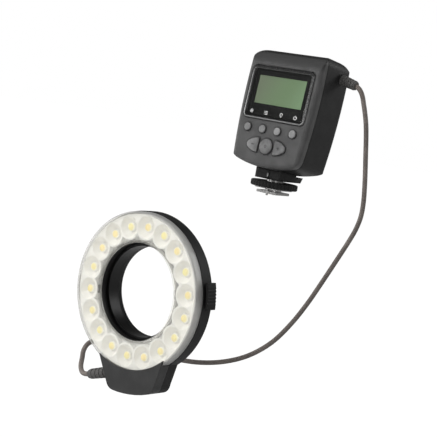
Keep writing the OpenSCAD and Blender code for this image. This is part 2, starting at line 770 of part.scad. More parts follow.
module ring_back_plate() {
  rest_h = 0.8;
  color("#242426") on_ring() difference() {
    union() {
      translate([0, 0, plate_back]) cylinder(r = housing_r, h = back_plate_t);
      chin_block(0, plate_back, plate_front);
      for (s = [-1, 1]) translate([s * 9, -cover_r - 8, plate_front - eps])
        cylinder(r = 2, h = rest_h + eps, $fn = 48);
    }
    translate([0, 0, plate_back - 1]) cylinder(r = sleeve_r + fixed_gap, h = back_plate_t + 2);
    for (z = [plate_back - 1]) translate([0, 0, z]) {
      at_posts() cylinder(r = screw_r + fixed_gap, h = back_plate_t + 2, $fn = 32);
      at_posts() cylinder(r = screw_head_r + fixed_gap, h = 1 + screw_head_h, $fn = 48);
      at_chin_screws() cylinder(r = screw_r + fixed_gap, h = back_plate_t + 2, $fn = 32);
      at_chin_screws() cylinder(r = screw_head_r + fixed_gap, h = 1 + screw_head_h, $fn = 48);
    }
  }
}

module back_screws() {
  color("dimgray") on_ring() at_posts() translate([0, 0, plate_back + screw_head_h])
    rotate([180, 0, 0]) screw(4);
}

module chin_screws() {
  color("dimgray") on_ring() at_chin_screws()
    translate([0, 0, plate_back + screw_head_h]) rotate([180, 0, 0]) screw(cover_back - plate_back + 2);
}

module adapter_ring() {
  notches = 36;
  floor_r = adapter_r - groove_d;
  grip_back = grip_front - grip_t;
  color("#3a3a3c") on_ring() difference() {
    rotate_extrude() polygon([
      [adapter_bore_r, grip_back - thread_len], [thread_r, grip_back - thread_len], [thread_r, grip_back],
      [grip_r, grip_back], [grip_r, grip_front], [adapter_r, grip_front], [adapter_r, groove_back],
      [floor_r, groove_back], [floor_r, groove_front], [adapter_r, groove_front],
      [adapter_r, adapter_front], [adapter_bore_r, adapter_front]]);
    for (i = [0:notches - 1]) rotate([0, 0, 360 * i / notches]) translate([grip_r + 0.2, 0, grip_back - 1])
      cylinder(r = 0.7, h = grip_t + 1.5, $fn = 24);
  }
}

module led_flex() {
  half = 4;
  thick = 0.4;
  top = 5.1 - cover_r;
  color("#c98a2b") on_ring() {
    block([-half, top, plate_front + thick], [half, top + thick, board_back]);
    block([-half, -cover_r - 9.5, plate_front + thick], [half, top + thick, plate_front + 2 * thick]);
  }
}

module ring_driver_board() {
  level = plate_front + 0.8;
  color("#2f6b45") on_ring() {
    translate([0, -cover_r, 0]) {
      block([-13, -11.5, level], [13, -2.9, level + 1.2]);
      block([-9, -10, level + 1.2 - eps], [-3, -5, level + 3]);
      block([2, -9.5, level + 1.2 - eps], [10, -5.5, level + 2.4]);
    }
  }
}

module ring_boot() {
  color("#202022") on_ring() at_ring_boot() translate([0, 0, collar_out]) boot(ring_boot_len, 6);
}

// Case outlines, each drawn in by a margin

// Half-width of the case at a height, drawn in by a margin
function side_x(z, i) = side_mid[0] + sqrt(pow(side_r - i, 2) - pow(z - bulge_up, 2));

// Lower meeting point of two circles
function circle_meet(m1, r1, m2, r2) = let (d = norm(m2 - m1), u = (m2 - m1) / d,
    a = (r1 * r1 - r2 * r2 + d * d) / (2 * d), h = sqrt(r1 * r1 - a * a))
  m1 + a * u + h * [u[1], -u[0]];

module side_outline(i) {
  round_rect(i, case_d - i, case_base - 5, case_top - i, [0, 0, roll_rear_r - i, roll_front_r - i]);
}

// A disc as deep as the case, round a point of the face, with rounded front and rear rims
module rimmed_disc(mid, r_in, r_out, i, fine) {
  translate([mid[0], 0, mid[1]]) rotate([-90, 0, 0]) rotate_extrude($fn = fine)
    round_rect(r_in, r_out - i, i, case_d - i, [0, edge_r - i, rear_edge_r - i, 0]);
}

// The four-sided piece of the face that holds a corner, between two directions from the corner's middle
module corner_piece(mid, reach, to_a, to_b) {
  polygon([mid, mid + reach * to_a, mid + reach * (to_a + to_b), mid + reach * to_b]);
}

// What the rounded corners of the face leave out, below and above
module low_corner(i) {
  on_face(-1, case_d + 1) difference() {
    corner_piece(low_corner_mid, 3 * low_corner_r,
      unit(low_corner_mid - side_mid), unit(low_corner_mid - bow_mid));
    translate(low_corner_mid) circle(low_corner_r - i + eps);
  }
}

module high_corner(i) {
  on_face(-1, case_d + 1) difference() {
    corner_piece(high_corner_mid, 3 * high_corner_r, unit(high_corner_mid - side_mid), [0, 1]);
    translate(high_corner_mid) circle(high_corner_r - i + eps);
  }
}

// The case as wide as may be, with only the rolls of its top
module roll_form(i) {
  rotate([90, 0, 90]) translate([0, 0, -case_w]) linear_extrude(2 * case_w) side_outline(i);
}

// The solid of the case, drawn in by a margin all over
module case_form(i) {
  difference() {
    difference() {
      intersection() {
        roll_form(i);
        rimmed_disc(side_mid, side_r - 3 * case_w, side_r, i, 360);
        mirror([1, 0, 0]) rimmed_disc(side_mid, side_r - 3 * case_w, side_r, i, 360);
        rimmed_disc(bow_mid, 1, bow_r, i, 360);
      }
      for (s = [0, 1]) mirror([s, 0, 0]) high_corner(i);
    }
    for (s = [0, 1]) mirror([s, 0, 0]) low_corner(i);
  }
}

module at_case_screws() {
  for (s = [-1, 1]) for (q = [case_screw_low, case_screw_high])
    translate([s * q[0], 0, q[1]]) rotate([-90, 0, 0]) children();
}

module at_board_posts() {
  for (s = [-1, 1]) for (z = [board_post_low, board_post_high])
    translate([s * board_post_x, 0, z]) rotate([-90, 0, 0]) children();
}

// Outlines of the buttons on the face, grown by a margin

module small_outline(grow) {
  circle(small_button_r + grow);
}

module set_outline(grow) {
  circle(set_button_r + grow);
}

// A side button: straight at its root, with two long arcs that run into a round tip. It points to +x
module side_outline_key(grow) {
  tip_r = 3.2;
  root = set_button_r + 1.6;
  reach = large_button_reach - root - tip_r;
  half = side_button_h / 2;
  drop = (reach * reach - pow(half - tip_r, 2)) / (2 * (half - tip_r));
  join = reach + (tip_r + grow) * reach / norm([reach, drop]);
  translate([root, 0]) {
    intersection() {
      translate([0, -drop]) circle(half + drop + grow);
      translate([0, drop]) circle(half + drop + grow);
      translate([-grow, -20]) square([join + grow, 40]);
    }
    translate([reach, 0]) circle(tip_r + grow);
  }
}

module face_button(at, hue, stem_x = 0) {
  flange_y = wall + moving_gap;
  flange_t = 0.8;
  stem_end = board_y - 4.3;
  color(hue) on_case() translate([at[0], 0, at[1]]) {
    on_face(-button_proud, flange_y + eps) children(0);
    on_face(flange_y, flange_y + flange_t) children(1);
    translate([stem_x, flange_y, 0]) rotate([-90, 0, 0]) cylinder(r = 2, h = stem_end - flange_y, $fn = 48);
  }
}

module small_button(i) {
  flange_grow = 0.9;
  face_button([(i - 1.5) * small_button_step, small_button_up], "#77797b") {
    small_outline(0);
    small_outline(flange_grow);
  }
}

module pilot_button() {
  small_button(0);
}

module mode_button() {
  small_button(1);
}

module light_button() {
  small_button(2);
}

module power_button() {
  small_button(3);
}

module left_button() {
  face_button([0, large_button_up], "#808284", -side_button_x) {
    mirror([1, 0]) side_outline_key(0);
    mirror([1, 0]) side_outline_key(0.5);
  }
}

module right_button() {
  face_button([0, large_button_up], "#808284", side_button_x) {
    side_outline_key(0);
    side_outline_key(0.5);
  }
}

module set_button() {
  face_button([0, large_button_up], "#808284") {
    set_outline(0);
    set_outline(0.5);
  }
}

module button_holes() {
  on_face(-2, wall + 1) {
    for (i = [0:3]) translate([(i - 1.5) * small_button_step, small_button_up]) small_outline(moving_gap);
    translate([0, large_button_up]) {
      set_outline(moving_gap);
      side_outline_key(moving_gap);
      mirror([1, 0]) side_outline_key(moving_gap);
    }
  }
}

module frame_outline(grow) {
  w = frame_w / 2 + grow;
  r = frame_r + grow;
  round_rect(-w, w, frame_low - grow, frame_high + grow, [r, r, r, r]);
}

module front_shell() {
  post_len = board_y - 1;
  color("#4a4b4d") on_case() difference() {
    union() {
      difference() {
        intersection() {
          case_form(0);
          block([-case_w, -1, 0], [case_w, seam_y, 2 * case_top]);
        }
        case_form(wall);
      }
      intersection() {
        roll_form(wall / 2);
        union() {
          at_case_screws() translate([0, 0, 1]) cylinder(r = 2.8, h = case_post_end - 1, $fn = 48);
          at_board_posts() translate([0, 0, 1]) cylinder(r = 1.9, h = post_len, $fn = 48);
        }
      }
    }
    on_face(-2, pocket_d) frame_outline(frame_groove);
    on_face(-2, wall + 1) frame_outline(-ledge);
    button_holes();
    at_case_screws() translate([0, 0, case_screw_end - 0.5])
      cylinder(r = screw_r + running_gap, h = case_d, $fn = 32);
    at_board_posts() translate([0, 0, board_screw_end - 0.5])
      cylinder(r = screw_r + running_gap, h = case_d, $fn = 32);
  }
}

// Carries a piece so that its z runs out along the case's strain relief
module at_case_boot() {
  translate(case_boot_at) rotate([0, 90 + case_boot_fall, 0]) children();
}

module hinge_rod(r, half) {
  translate([-half, hinge_y, hinge_z]) rotate([0, 90, 0]) cylinder(r = r, h = 2 * half, $fn = 48);
}

module rear_shell() {
  knuckle_room = knuckle_r + 1.3 * moving_gap;
  door_half = door_w / 2 + moving_gap;
  color("#232325") on_case() difference() {
    union() {
      difference() {
        intersection() {
          case_form(0);
          block([-case_w, seam_y, 0], [case_w, 2 * case_d, 2 * case_top]);
        }
        case_form(wall);
      }
      intersection() {
        case_form(wall / 2);
        union() {
          at_case_screws() translate([0, 0, case_post_end]) cylinder(r = 3.4, h = case_d, $fn = 48);
          hinge_rod(knuckle_r, lug_end);
        }
      }
      at_case_boot() translate([0, 0, -1]) cylinder(r = boot_collar_r, h = collar_out + 1);
    }
    at_case_screws() cylinder(r = screw_r + fixed_gap, h = 2 * case_d, $fn = 32);
    at_case_screws() translate([0, 0, case_screw_seat])
      cylinder(r = screw_head_r + moving_gap, h = 2 * case_d, $fn = 48);
    block([-door_half, case_d - wall - 1, door_low - moving_gap],
      [door_half, case_d + 1, door_high + moving_gap]);
    block([-knuckle_half - moving_gap, hinge_y - knuckle_room, hinge_z - knuckle_room],
      [knuckle_half + moving_gap, case_d + 1, door_low + 1]);
    difference() {
      block([-door_half, hinge_y, hinge_z], [door_half, case_d + 1, door_low]);
      hinge_rod(door_low - moving_gap - hinge_z, door_half + 1);
    }
    hinge_rod(hinge_pin_r + running_gap / 3, lug_end - 0.5);
    at_case_boot() translate([0, 0, -6]) cylinder(r = boot_neck_r + fixed_gap, h = collar_out + 8);
    at_neck_screws() translate([0, 0, -2]) cylinder(r = screw_r + fixed_gap, h = 10, $fn = 32);
  }
}

module case_screws() {
  color("dimgray") on_case() at_case_screws() translate([0, 0, case_screw_seat])
    screw(case_screw_seat - case_screw_end);
}

module display_frame() {
  color("#3a3b3d") on_case() difference() {
    on_face(-frame_proud, pocket_d) frame_outline(0);
    on_face(-frame_proud - 1, pocket_d + 1) frame_outline(-frame_border);
  }
}

module display_window() {
  window_front = -0.3;
  color("#8fa08c") on_case() on_face(window_front, pocket_d - mask_t) frame_outline(-window_border);
}

module display_mask() {
  color("#08080a") on_case() on_face(pocket_d - mask_t, pocket_d) difference() {
    frame_outline(-window_border);
    translate([-lcd_w / 2, lcd_mid - lcd_h / 2]) square([lcd_w, lcd_h]);
  }
}

module lcd_panel() {
  margin = 1;
  color("#75896b") on_case() block(
    [-lcd_w / 2 - margin, pocket_d, lcd_mid - lcd_h / 2 - margin],
    [lcd_w / 2 + margin, wall + 1.6, lcd_mid + lcd_h / 2 + margin]);
}

module lcd_holder() {
  margin = 2;
  color("#c9c9c4") on_case() block(
    [-lcd_w / 2 - margin, wall + 1.6, lcd_mid - lcd_h / 2 - margin],
    [lcd_w / 2 + margin, board_y, lcd_mid + lcd_h / 2 + margin]);
}

module main_board() {
  color("#2f6b45") on_case() difference() {
    block([-board_half, board_y, board_low], [board_half, board_y + pcb_t, board_high]);
    at_board_posts() cylinder(r = screw_r + fixed_gap, h = case_d, $fn = 32);
  }
}

module board_chips() {
  back = board_y + pcb_t;
  color("#1b1b1d") on_case() {
    translate([0, back, board_low]) {
      block([-6, 0, 36], [6, 1.6, 48]);
      block([-20, 0, 16], [-12, 1.4, 22]);
      block([10, 0, 14], [20, 2.2, 24]);
      translate([17, 0, 46]) rotate([-90, 0, 0]) cylinder(r = 4, h = 0.75 * (tray_front - back), $fn = 48);
    }
  }
}

module board_screws() {
  color("dimgray") on_case() at_board_posts() translate([0, 0, board_y + pcb_t])
    screw(board_y + pcb_t - board_screw_end);
}

module tact_switches() {
  half = 3;
  body_front = board_y - 2.8;
  row = [for (i = [0:3]) [(i - 1.5) * small_button_step, small_button_up]];
  places = concat(row, [for (k = [-1:1]) [k * side_button_x, large_button_up]]);
  color("#b9babb") on_case() for (p = places) translate([p[0], 0, p[1]]) {
    block([-half, body_front, -half], [half, board_y, half]);
    translate([0, body_front - 0.4, 0]) rotate([-90, 0, 0]) cylinder(r = 1.6, h = 0.4 + eps, $fn = 32);
  }
}

module battery_tray() {
  half = half_w - wall - moving_gap;
  back = hinge_y - knuckle_r - 2 * moving_gap;
  color("#3a3a3c") on_case() {
    block([-half, tray_front, tray_low], [half, tray_front + tray_wall, tray_high]);
    block([-half, tray_front, tray_low], [half, back, bay_low]);
    block([-half, tray_front, bay_high], [half, back, tray_high]);
    for (k = [-1:1]) translate([k * cell_step, 0, 0])
      block([-0.5, tray_front, tray_low], [0.5, tray_front + 4, tray_high]);
  }
}

// Carries a piece to each cell in turn, upright or turned over
module at_cells() {
  for (i = [0:3]) translate([(i - 1.5) * cell_step, cell_y, (bay_low + bay_high) / 2])
    rotate([0, i % 2 == 0 ? 0 : 180, 0]) children();
}

module batteries() {
  half_bay = (bay_high - bay_low) / 2 - plate_t;
  color("#c7a34a") on_case() at_cells() {
    translate([0, 0, half_bay - cell_len]) cylinder(r = cell_r, h = cell_len - cell_nub);
    translate([0, 0, half_bay - cell_nub - eps]) cylinder(r = 0.38 * cell_r, h = cell_nub + eps, $fn = 48);
  }
}

module battery_plates() {
  half_bay = (bay_high - bay_low) / 2;
  side = cell_r - 1.6;
  color("silver") on_case() at_cells() for (s = [0, 1]) mirror([0, 0, s])
    block([-side, -side, half_bay - plate_t], [side, side, half_bay]);
}

module battery_springs() {
  half_bay = (bay_high - bay_low) / 2 - plate_t;
  color("silver") on_case() at_cells() translate([0, 0, -half_bay])
    coil_spring(cell_r - 2.5, cell_r - 4.1, 0.7, cell_spring_len, 3);
}

module battery_door() {
  half = door_w / 2;
  inner = case_d - door_t;
  groove_w = 16;
  color("#232325") on_case() difference() {
    union() {
      block([-half, inner, door_low], [half, case_d, door_high]);
      block([-knuckle_half, inner, hinge_z], [knuckle_half, case_d - 0.1, door_low + 1]);
      hinge_rod(knuckle_r, knuckle_half);
    }
    hinge_rod(hinge_pin_r + running_gap, knuckle_half + 1);
    for (k = [0:3]) translate([0, case_d, door_high - 6 - 2 * k])
      block([-groove_w / 2, -0.6, 0], [groove_w / 2, 1, 1]);
  }
}

module door_hinge_pin() {
  color("silver") on_case() hinge_rod(hinge_pin_r, lug_end - 0.8);
}

// Shoe pieces, upright under the leaning case

module at_neck_screws() {
  for (s = [-1, 1]) for (y = neck_screw_y) translate([s * neck_screw_x, y, case_base]) children();
}

module shoe_neck() {
  block_h = 16;
  ledge_end = 20;
  ledge_cut = 2.4;
  ledge_h = 4.2;
  mark = [1.6, 0.5, 4.4];
  color("#19191b") difference() {
    union() {
      block([-neck_half, -neck_half_len, neck_z], [neck_half, neck_half_len, neck_z + block_h]);
      rotate([90, 0, 90]) translate([0, 0, -neck_half]) linear_extrude(2 * neck_half) polygon([
        [0, neck_z], [ledge_end - ledge_cut, neck_z], [ledge_end, neck_z + ledge_h], [0, neck_z + ledge_h]]);
      translate([-mark[0] / 2, -neck_half_len - mark[1], neck_z + 1.2]) cube(mark + [0, eps, 0]);
    }
    on_case() translate([0, 0, bow_mid[1]]) rotate([-90, 0, 0]) cylinder(r = bow_r, h = case_d, $fn = 360);
    translate([0, 0, neck_z - 1]) cylinder(r = stem_r + fixed_gap, h = stem_top - neck_z + 1);
    on_case() at_neck_screws() translate([0, 0, -neck_grip - 0.2])
      cylinder(r = screw_r + running_gap, h = 20, $fn = 32);
  }
}

module neck_screws() {
  head_seat = wall + 1;
  color("dimgray") on_case() at_neck_screws() translate([0, 0, head_seat]) screw(head_seat + neck_grip);
}

module shoe_foot() {
  color("silver") difference() {
    union() {
      translate([-foot_w / 2, -foot_len / 2, 0]) cube([foot_w, foot_len, foot_t]);
      translate([0, 0, foot_t - eps]) cylinder(r = stem_r, h = stem_top - foot_t + eps);
    }
    translate([0, 0, -1]) cylinder(r = carrier_r + fixed_gap, h = carrier_h + 1);
    translate([0, lock_pin_y, -1]) cylinder(r = lock_pin_r + running_gap, h = foot_t + 2, $fn = 32);
  }
}

module lock_wheel() {
  grips = 40;
  top = wheel_z + wheel_t;
  color("#1d1d1f") difference() {
    rotate_extrude() polygon([
      [stem_r + running_gap, wheel_z], [wheel_r - 0.6, wheel_z], [wheel_r, wheel_z + 0.6],
      [wheel_r, top - 0.6], [wheel_r - 0.6, top], [stem_r + running_gap, top]]);
    for (i = [0:grips - 1]) rotate([0, 0, 360 * i / grips]) translate([wheel_r + 0.35, 0, wheel_z - 1])
      cylinder(r = 0.85, h = wheel_t + 2, $fn = 24);
  }
}

module clamp_plate() {
  half = [10.6, 10.2];
  color("silver") difference() {
    block([-half[0], -half[1], clamp_z], [half[0], half[1], clamp_z + clamp_t]);
    translate([0, 0, clamp_z - 1]) cylinder(r = stem_r + fixed_gap, h = clamp_t + 2);
    translate([0, lock_pin_y, clamp_z - 1])
      cylinder(r = lock_pin_r + running_gap / 3, h = clamp_t + 2, $fn = 32);
  }
}

module lock_pin() {
  color("silver") translate([0, lock_pin_y, -lock_pin_reach])
    cylinder(r = lock_pin_r, h = clamp_z + clamp_t + lock_pin_reach, $fn = 32);
}

module at_contacts() {
  children();
  for (a = [45:90:315]) rotate([0, 0, a]) translate([contact_ring_r, 0, 0]) children();
}

module contact_carrier() {
  color("#111113") difference() {
    cylinder(r = carrier_r, h = carrier_h);
    translate([0, 0, -1]) at_contacts() cylinder(r = contact_r + running_gap, h = carrier_h, $fn = 32);
  }
}

module contact_pins() {
  length = carrier_h - 1 - moving_gap;
  color("gold") translate([0, 0, -contact_reach]) at_contacts() cylinder(r = contact_r, h = length, $fn = 32);
}

module controller_boot() {
  color("#202022") on_case() at_case_boot() translate([0, 0, collar_out]) boot(case_boot_len, 5);
}

// Places along the strain reliefs: the cord's straight ends lie in the bores of their tips

function case_point(p) = [
  p[0],
  -face_ahead + p[1] * cos(case_lean) + p[2] * sin(case_lean),
  lean_line_z - p[1] * sin(case_lean) + p[2] * cos(case_lean)];
function ring_point(p) = [
  p[0] * cos(ring_turn) - p[1] * sin(ring_turn),
  -ring_ahead - p[2],
  -ring_below + p[0] * sin(ring_turn) + p[1] * cos(ring_turn)];
function case_boot_tip(s) = case_point(case_boot_at + s * [cos(case_boot_fall), 0, -sin(case_boot_fall)]);
function ring_boot_tip(s) = ring_point([
  ring_boot_at[0] - s * cos(ring_boot_fall), ring_boot_at[1] - s * sin(ring_boot_fall), ring_boot_level]);

module cord() {
  start = collar_out + case_boot_len - cord_d + eps;
  end = collar_out + ring_boot_len - cord_d + eps;
  ends_in = [case_boot_tip(start), case_boot_tip(start + cord_d)];
  ends_out = [ring_boot_tip(end + cord_d), ring_boot_tip(end)];
  color("#2a2a2c") tube(smooth_path(concat(ends_in, cord_route, ends_out), 2), cord_d / 2, 8);
}

clear_cover();
reflector();
led_board();
led_packages();
led_phosphors();
ring_rear_housing();
chin_front_cover();
inner_sleeve();
latch_slider_right();
latch_slider_left();
latch_spring_right();
latch_spring_left();
ring_back_plate();
back_screws();
chin_screws();
adapter_ring();
led_flex();
ring_driver_board();
ring_boot();
front_shell();
rear_shell();
case_screws();
display_frame();
display_window();
display_mask();
lcd_panel();
lcd_holder();
main_board();
board_chips();
board_screws();
tact_switches();
pilot_button();
mode_button();
light_button();
power_button();
left_button();
set_button();
right_button();
battery_tray();
batteries();
battery_plates();
battery_springs();
battery_door();
door_hinge_pin();
shoe_neck();
neck_screws();
shoe_foot();
lock_wheel();
clamp_plate();
lock_pin();
contact_carrier();
contact_pins();
controller_boot();
cord();
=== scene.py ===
# %% [markdown]
# A macro ring flash has two heads. A ring of lamps lights small things close up, a control unit stands on
# a standard shoe foot, and a cord joins them. The solids come ready made and stay where they are. This
# lesson gives them their finishes, adds the small pieces that a solid model leaves out, and sets up the
# picture.

# %% Load the solids
import json
import math

import bmesh
import bpy
from mathutils import Matrix, Vector


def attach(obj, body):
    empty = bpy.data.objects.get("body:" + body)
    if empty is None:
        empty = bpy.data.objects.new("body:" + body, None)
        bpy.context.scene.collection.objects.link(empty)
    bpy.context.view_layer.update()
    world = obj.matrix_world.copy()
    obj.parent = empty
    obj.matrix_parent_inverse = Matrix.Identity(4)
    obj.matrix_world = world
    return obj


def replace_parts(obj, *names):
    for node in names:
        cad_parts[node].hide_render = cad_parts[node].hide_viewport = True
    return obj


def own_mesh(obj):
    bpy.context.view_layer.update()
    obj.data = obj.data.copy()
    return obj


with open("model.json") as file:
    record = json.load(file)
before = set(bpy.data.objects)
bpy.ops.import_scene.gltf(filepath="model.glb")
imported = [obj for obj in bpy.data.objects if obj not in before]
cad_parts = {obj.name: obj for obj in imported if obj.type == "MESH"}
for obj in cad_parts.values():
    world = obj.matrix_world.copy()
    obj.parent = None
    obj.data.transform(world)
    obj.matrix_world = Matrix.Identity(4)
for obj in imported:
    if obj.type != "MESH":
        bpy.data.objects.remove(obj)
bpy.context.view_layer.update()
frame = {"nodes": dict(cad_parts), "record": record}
MM = 0.001

# %% [markdown]
# Both heads stand at an angle. It is easier to build a piece square on and then carry it there, so each
# head gets a matrix. The ring's own z looks forward out of the lamps, and the case's own y goes in
# through its face.

# %% Frames of the two heads
RING_MIDDLE, RING_TURN = (0, -0.140, -0.0761), math.radians(10)
CASE_FOOT, CASE_LEAN = (0, -0.0219, 0.0069), math.radians(6)
LAMPS_FORWARD = Matrix.Rotation(math.pi / 2, 4, "X")
RING = Matrix.Translation(RING_MIDDLE) @ Matrix.Rotation(-RING_TURN, 4, "Y") @ LAMPS_FORWARD
CASE = Matrix.Translation(CASE_FOOT) @ Matrix.Rotation(-CASE_LEAN, 4, "X")


def carried(matrix, points):
    """Points in a head's own millimetres, carried to the model's metres."""
    return [matrix @ (Vector(p) * MM) for p in points]


print("lamp plane at", [round(v, 3) for v in RING.translation])
print("face's foot at", [round(v, 4) for v in CASE.translation])

# %% [markdown]
# The camera comes first, because every later choice is judged through it. Its place, its tilt and its
# slight roll were found by matching the ring's two ellipses and the display's corners. A long focal
# length keeps both heads nearly the same size, though one is well in front of the other.

# %% Camera
FOCAL_PIXELS, FRAME_PIXELS, SENSOR = 1200, 437, 36
right = Vector((0.7665, 0.61981, 0.16825))
up = Vector((-0.19276, -0.02788, 0.98085))
back = Vector((0.61264, -0.78425, 0.0981))
place = Matrix.Translation((0.549, -0.7655, 0.0663))
camera = bpy.data.objects.new("camera", bpy.data.cameras.new("camera"))
bpy.context.collection.objects.link(camera)
camera.matrix_world = place @ Matrix((right, up, back)).transposed().to_4x4()
camera.data.sensor_width = SENSOR
camera.data.lens = SENSOR * FOCAL_PIXELS / FRAME_PIXELS
bpy.context.scene.camera = camera
bpy.context.scene.view_settings.view_transform = "Standard"
print("focal length", round(camera.data.lens, 1), "mm")

# %% [markdown]
# Shaders are written as sums. This class wraps one output of a node, so that 1 - mask * 0.4 adds the Math
# nodes for it. Every other node comes from its one method, node(), which sets the node's choices before
# its sockets.


# %% Shader sums
class Sock:
    def __init__(self, out):
        self.out = out
        self.tree = out.id_data

    @staticmethod
    def feed(socket, value):
        """Links a wrapped output to a socket, or sets a plain value on it."""
        if isinstance(value, Sock):
            socket.id_data.links.new(value.out, socket)
        else:
            socket.default_value = value

    @classmethod
    def node(cls, tree, kind, settings=None, sockets=None, out=0):
        """Adds a node: its choices first, then the values or links of its sockets."""
        made = tree.nodes.new("ShaderNode" + kind)
        for key, value in (settings or {}).items():
            setattr(made, key, value)
        for key, value in (sockets or {}).items():
            cls.feed(made.inputs[key], value)
        return cls(made.outputs[out])

    def math(self, operation, a, b=0.0):
        return Sock.node(self.tree, "Math", {"operation": operation}, {0: a, 1: b})

    def __add__(self, other):
        return self.math("ADD", self, other)

    def __radd__(self, other):
        return self.math("ADD", other, self)

    def __sub__(self, other):
        return self.math("SUBTRACT", self, other)

    def __rsub__(self, other):
        return self.math("SUBTRACT", other, self)

    def __mul__(self, other):
        return self.math("MULTIPLY", self, other)

    def __rmul__(self, other):
        return self.math("MULTIPLY", other, self)

    def most(self, other):
        return self.math("MAXIMUM", self, other)

    def sine(self):
        return self.math("SINE", self)

    def root(self):
        return self.math("SQRT", self)

    def ramp(self, low, high, start=0.0, end=1.0):
        """A soft step: start below low, end above high."""
        return Sock.node(self.tree, "MapRange", {"interpolation_type": "SMOOTHSTEP"},
                         {"Value": self, "From Min": low, "From Max": high, "To Min": start, "To Max": end})


print("sums ready:", [name for name in vars(Sock) if not name.startswith("__")])

# %% [markdown]
# A Math node would turn a colour grey, so colours meet in a Mix node. They are written as the levels
# of 0 to 255 that a screen shows, because those are easy to judge by eye, and turned into linear light
# here.


# %% Colours and positions
def colour(r, g, b):
    """A colour from three levels of a screen."""
    shares = [v / 255 for v in (r, g, b)]
    return (*(v / 12.92 if v <= 0.04 else ((v + 0.055) / 1.055) ** 2.4 for v in shares), 1.0)


def grey(level, warm=0.0):
    """A grey from one level, a little warm or cold."""
    return colour(level + warm, level, level - warm)


def mix(factor, a, b):
    return Sock.node(factor.tree, "Mix", {"data_type": "RGBA"}, {0: factor, 6: a, 7: b}, out=2)


def axes(vector):
    """The three numbers of a position."""
    parts = Sock.node(vector.tree, "SeparateXYZ", None, {0: vector})
    return [Sock(out) for out in parts.out.node.outputs]


WHITE = (1, 1, 1, 1)
print("a grey of 128 is", round(grey(128)[0], 3), "in linear light")

# %% [markdown]
# The picture has a plain white ground. The world is white to the camera, and lights the object at about
# the level at which a colour renders as it is written. Shiny surfaces mirror a dimmer room that darkens
# towards its ceiling, as they do in a studio, where only the lamps and screens are bright.

# %% World
WORLD_LIGHT, WALL_MIRROR, CEILING_MIRROR = 0.4, 0.35, 0.1
world = bpy.data.worlds.new("white_studio")
world.use_nodes = True
bpy.context.scene.world = world
tree = world.node_tree
background = tree.nodes["Background"]
background.inputs["Color"].default_value = WHITE
seen = Sock.node(tree, "LightPath", out="Is Camera Ray")
mirrored = Sock.node(tree, "LightPath", out="Is Glossy Ray")
x, y, height = axes(Sock.node(tree, "TexCoord", out="Generated"))
room = height.ramp(0.05, 0.55, WALL_MIRROR, CEILING_MIRROR)
strength = WORLD_LIGHT + seen * (1 - WORLD_LIGHT) + mirrored * (room - WORLD_LIGHT)
Sock.feed(background.inputs["Strength"], strength)
print("world:", len(tree.nodes), "nodes")

# %% [markdown]
# The floor is matt paper that mostly glows towards the camera, so that it is as white as the world behind
# it. The part of it that doesn't glow still takes a faint shadow. To every other ray it is plain paper.

# %% Floor
FLOOR_Z, FLOOR_SIZE = -0.215, 14
PAPER, PAPER_GLOW, GLOW_SHARE = (0.6, 0.6, 0.6, 1), 1.1, 0.9
paper = bpy.data.materials.new("white_paper")
paper.use_nodes = True
tree = paper.node_tree
tree.nodes.remove(tree.nodes["Principled BSDF"])
matt = Sock.node(tree, "BsdfDiffuse", None, {"Color": PAPER})
glow = Sock.node(tree, "Emission", None, {"Color": WHITE, "Strength": PAPER_GLOW})
seen = Sock.node(tree, "LightPath", out="Is Camera Ray")
blend = Sock.node(tree, "MixShader", None, {0: seen * GLOW_SHARE, 1: matt, 2: glow})
Sock.feed(tree.nodes["Material Output"].inputs["Surface"], blend)

bpy.ops.mesh.primitive_plane_add(size=FLOOR_SIZE, location=(0, 0, FLOOR_Z))
floor = bpy.context.object
floor.name = "floor"
floor.data.materials.append(paper)
print("floor at", FLOOR_Z, "m")

# %% [markdown]
# The key lamp on the left gives most of the light. It is kept out of mirrors, because its round image
# would show in the glossy window. Three dim screens make the highlights instead: in front for the keys
# and the rim, on the left for the rim's bright left edge, and on the right for the cord and the clear
# cover. A lamp at the back lights the edges there.

# %% Lamps
LAMPS = {
    "key": ((-0.63, -0.91, 0.85), (0, -0.05, 0), 0.7, 15.0),
    "fill": ((0.9, -0.9, 0.9), (0, -0.08, 0), 0.8, 1.0),
    "back": ((0.75, 1.0, 0.75), (0, -0.05, 0), 0.8, 6.0),
    "front_screen": ((-0.37, -0.93, 0.15), (0, -0.02, 0.07), 0.3, 0.9),
    "left_screen": ((-0.9, -0.3, 0.05), (0, -0.02, 0.07), 0.4, 1.3),
    "right_screen": ((1.05, -0.8, 0.0), (0, -0.02, 0.07), 0.3, 0.9),
}


def soft_light(name, place, aim, size, watts):
    """A round area lamp at a place, turned to a point."""
    lamp = bpy.data.objects.new(name, bpy.data.lights.new(name, "AREA"))
    bpy.context.collection.objects.link(lamp)
    lamp.data.shape = "DISK"
    lamp.data.size = size
    lamp.data.energy = watts
    lamp.location = place
    lamp.rotation_euler = (Vector(place) - Vector(aim)).to_track_quat("Z", "Y").to_euler()
    return lamp


lamps = {name: soft_light(name, *row) for name, row in LAMPS.items()}
lamps["key"].visible_glossy = False
print("lamps:", sorted(lamps))

# %% [markdown]
# A moulded part is never one flat colour. The mould leaves a fine grain, the plastic is a little uneven,
# and corners polish with handling and are paled as a painted highlight. These helpers give what all
# finishes share. Positions are taken in millimetres from the solid itself, so the grain stays with a part
# when it moves.


# %% Helpers for finishes
def start_material(name):
    made = bpy.data.materials.new(name)
    made.use_nodes = True
    return made, made.node_tree, made.node_tree.nodes["Principled BSDF"]


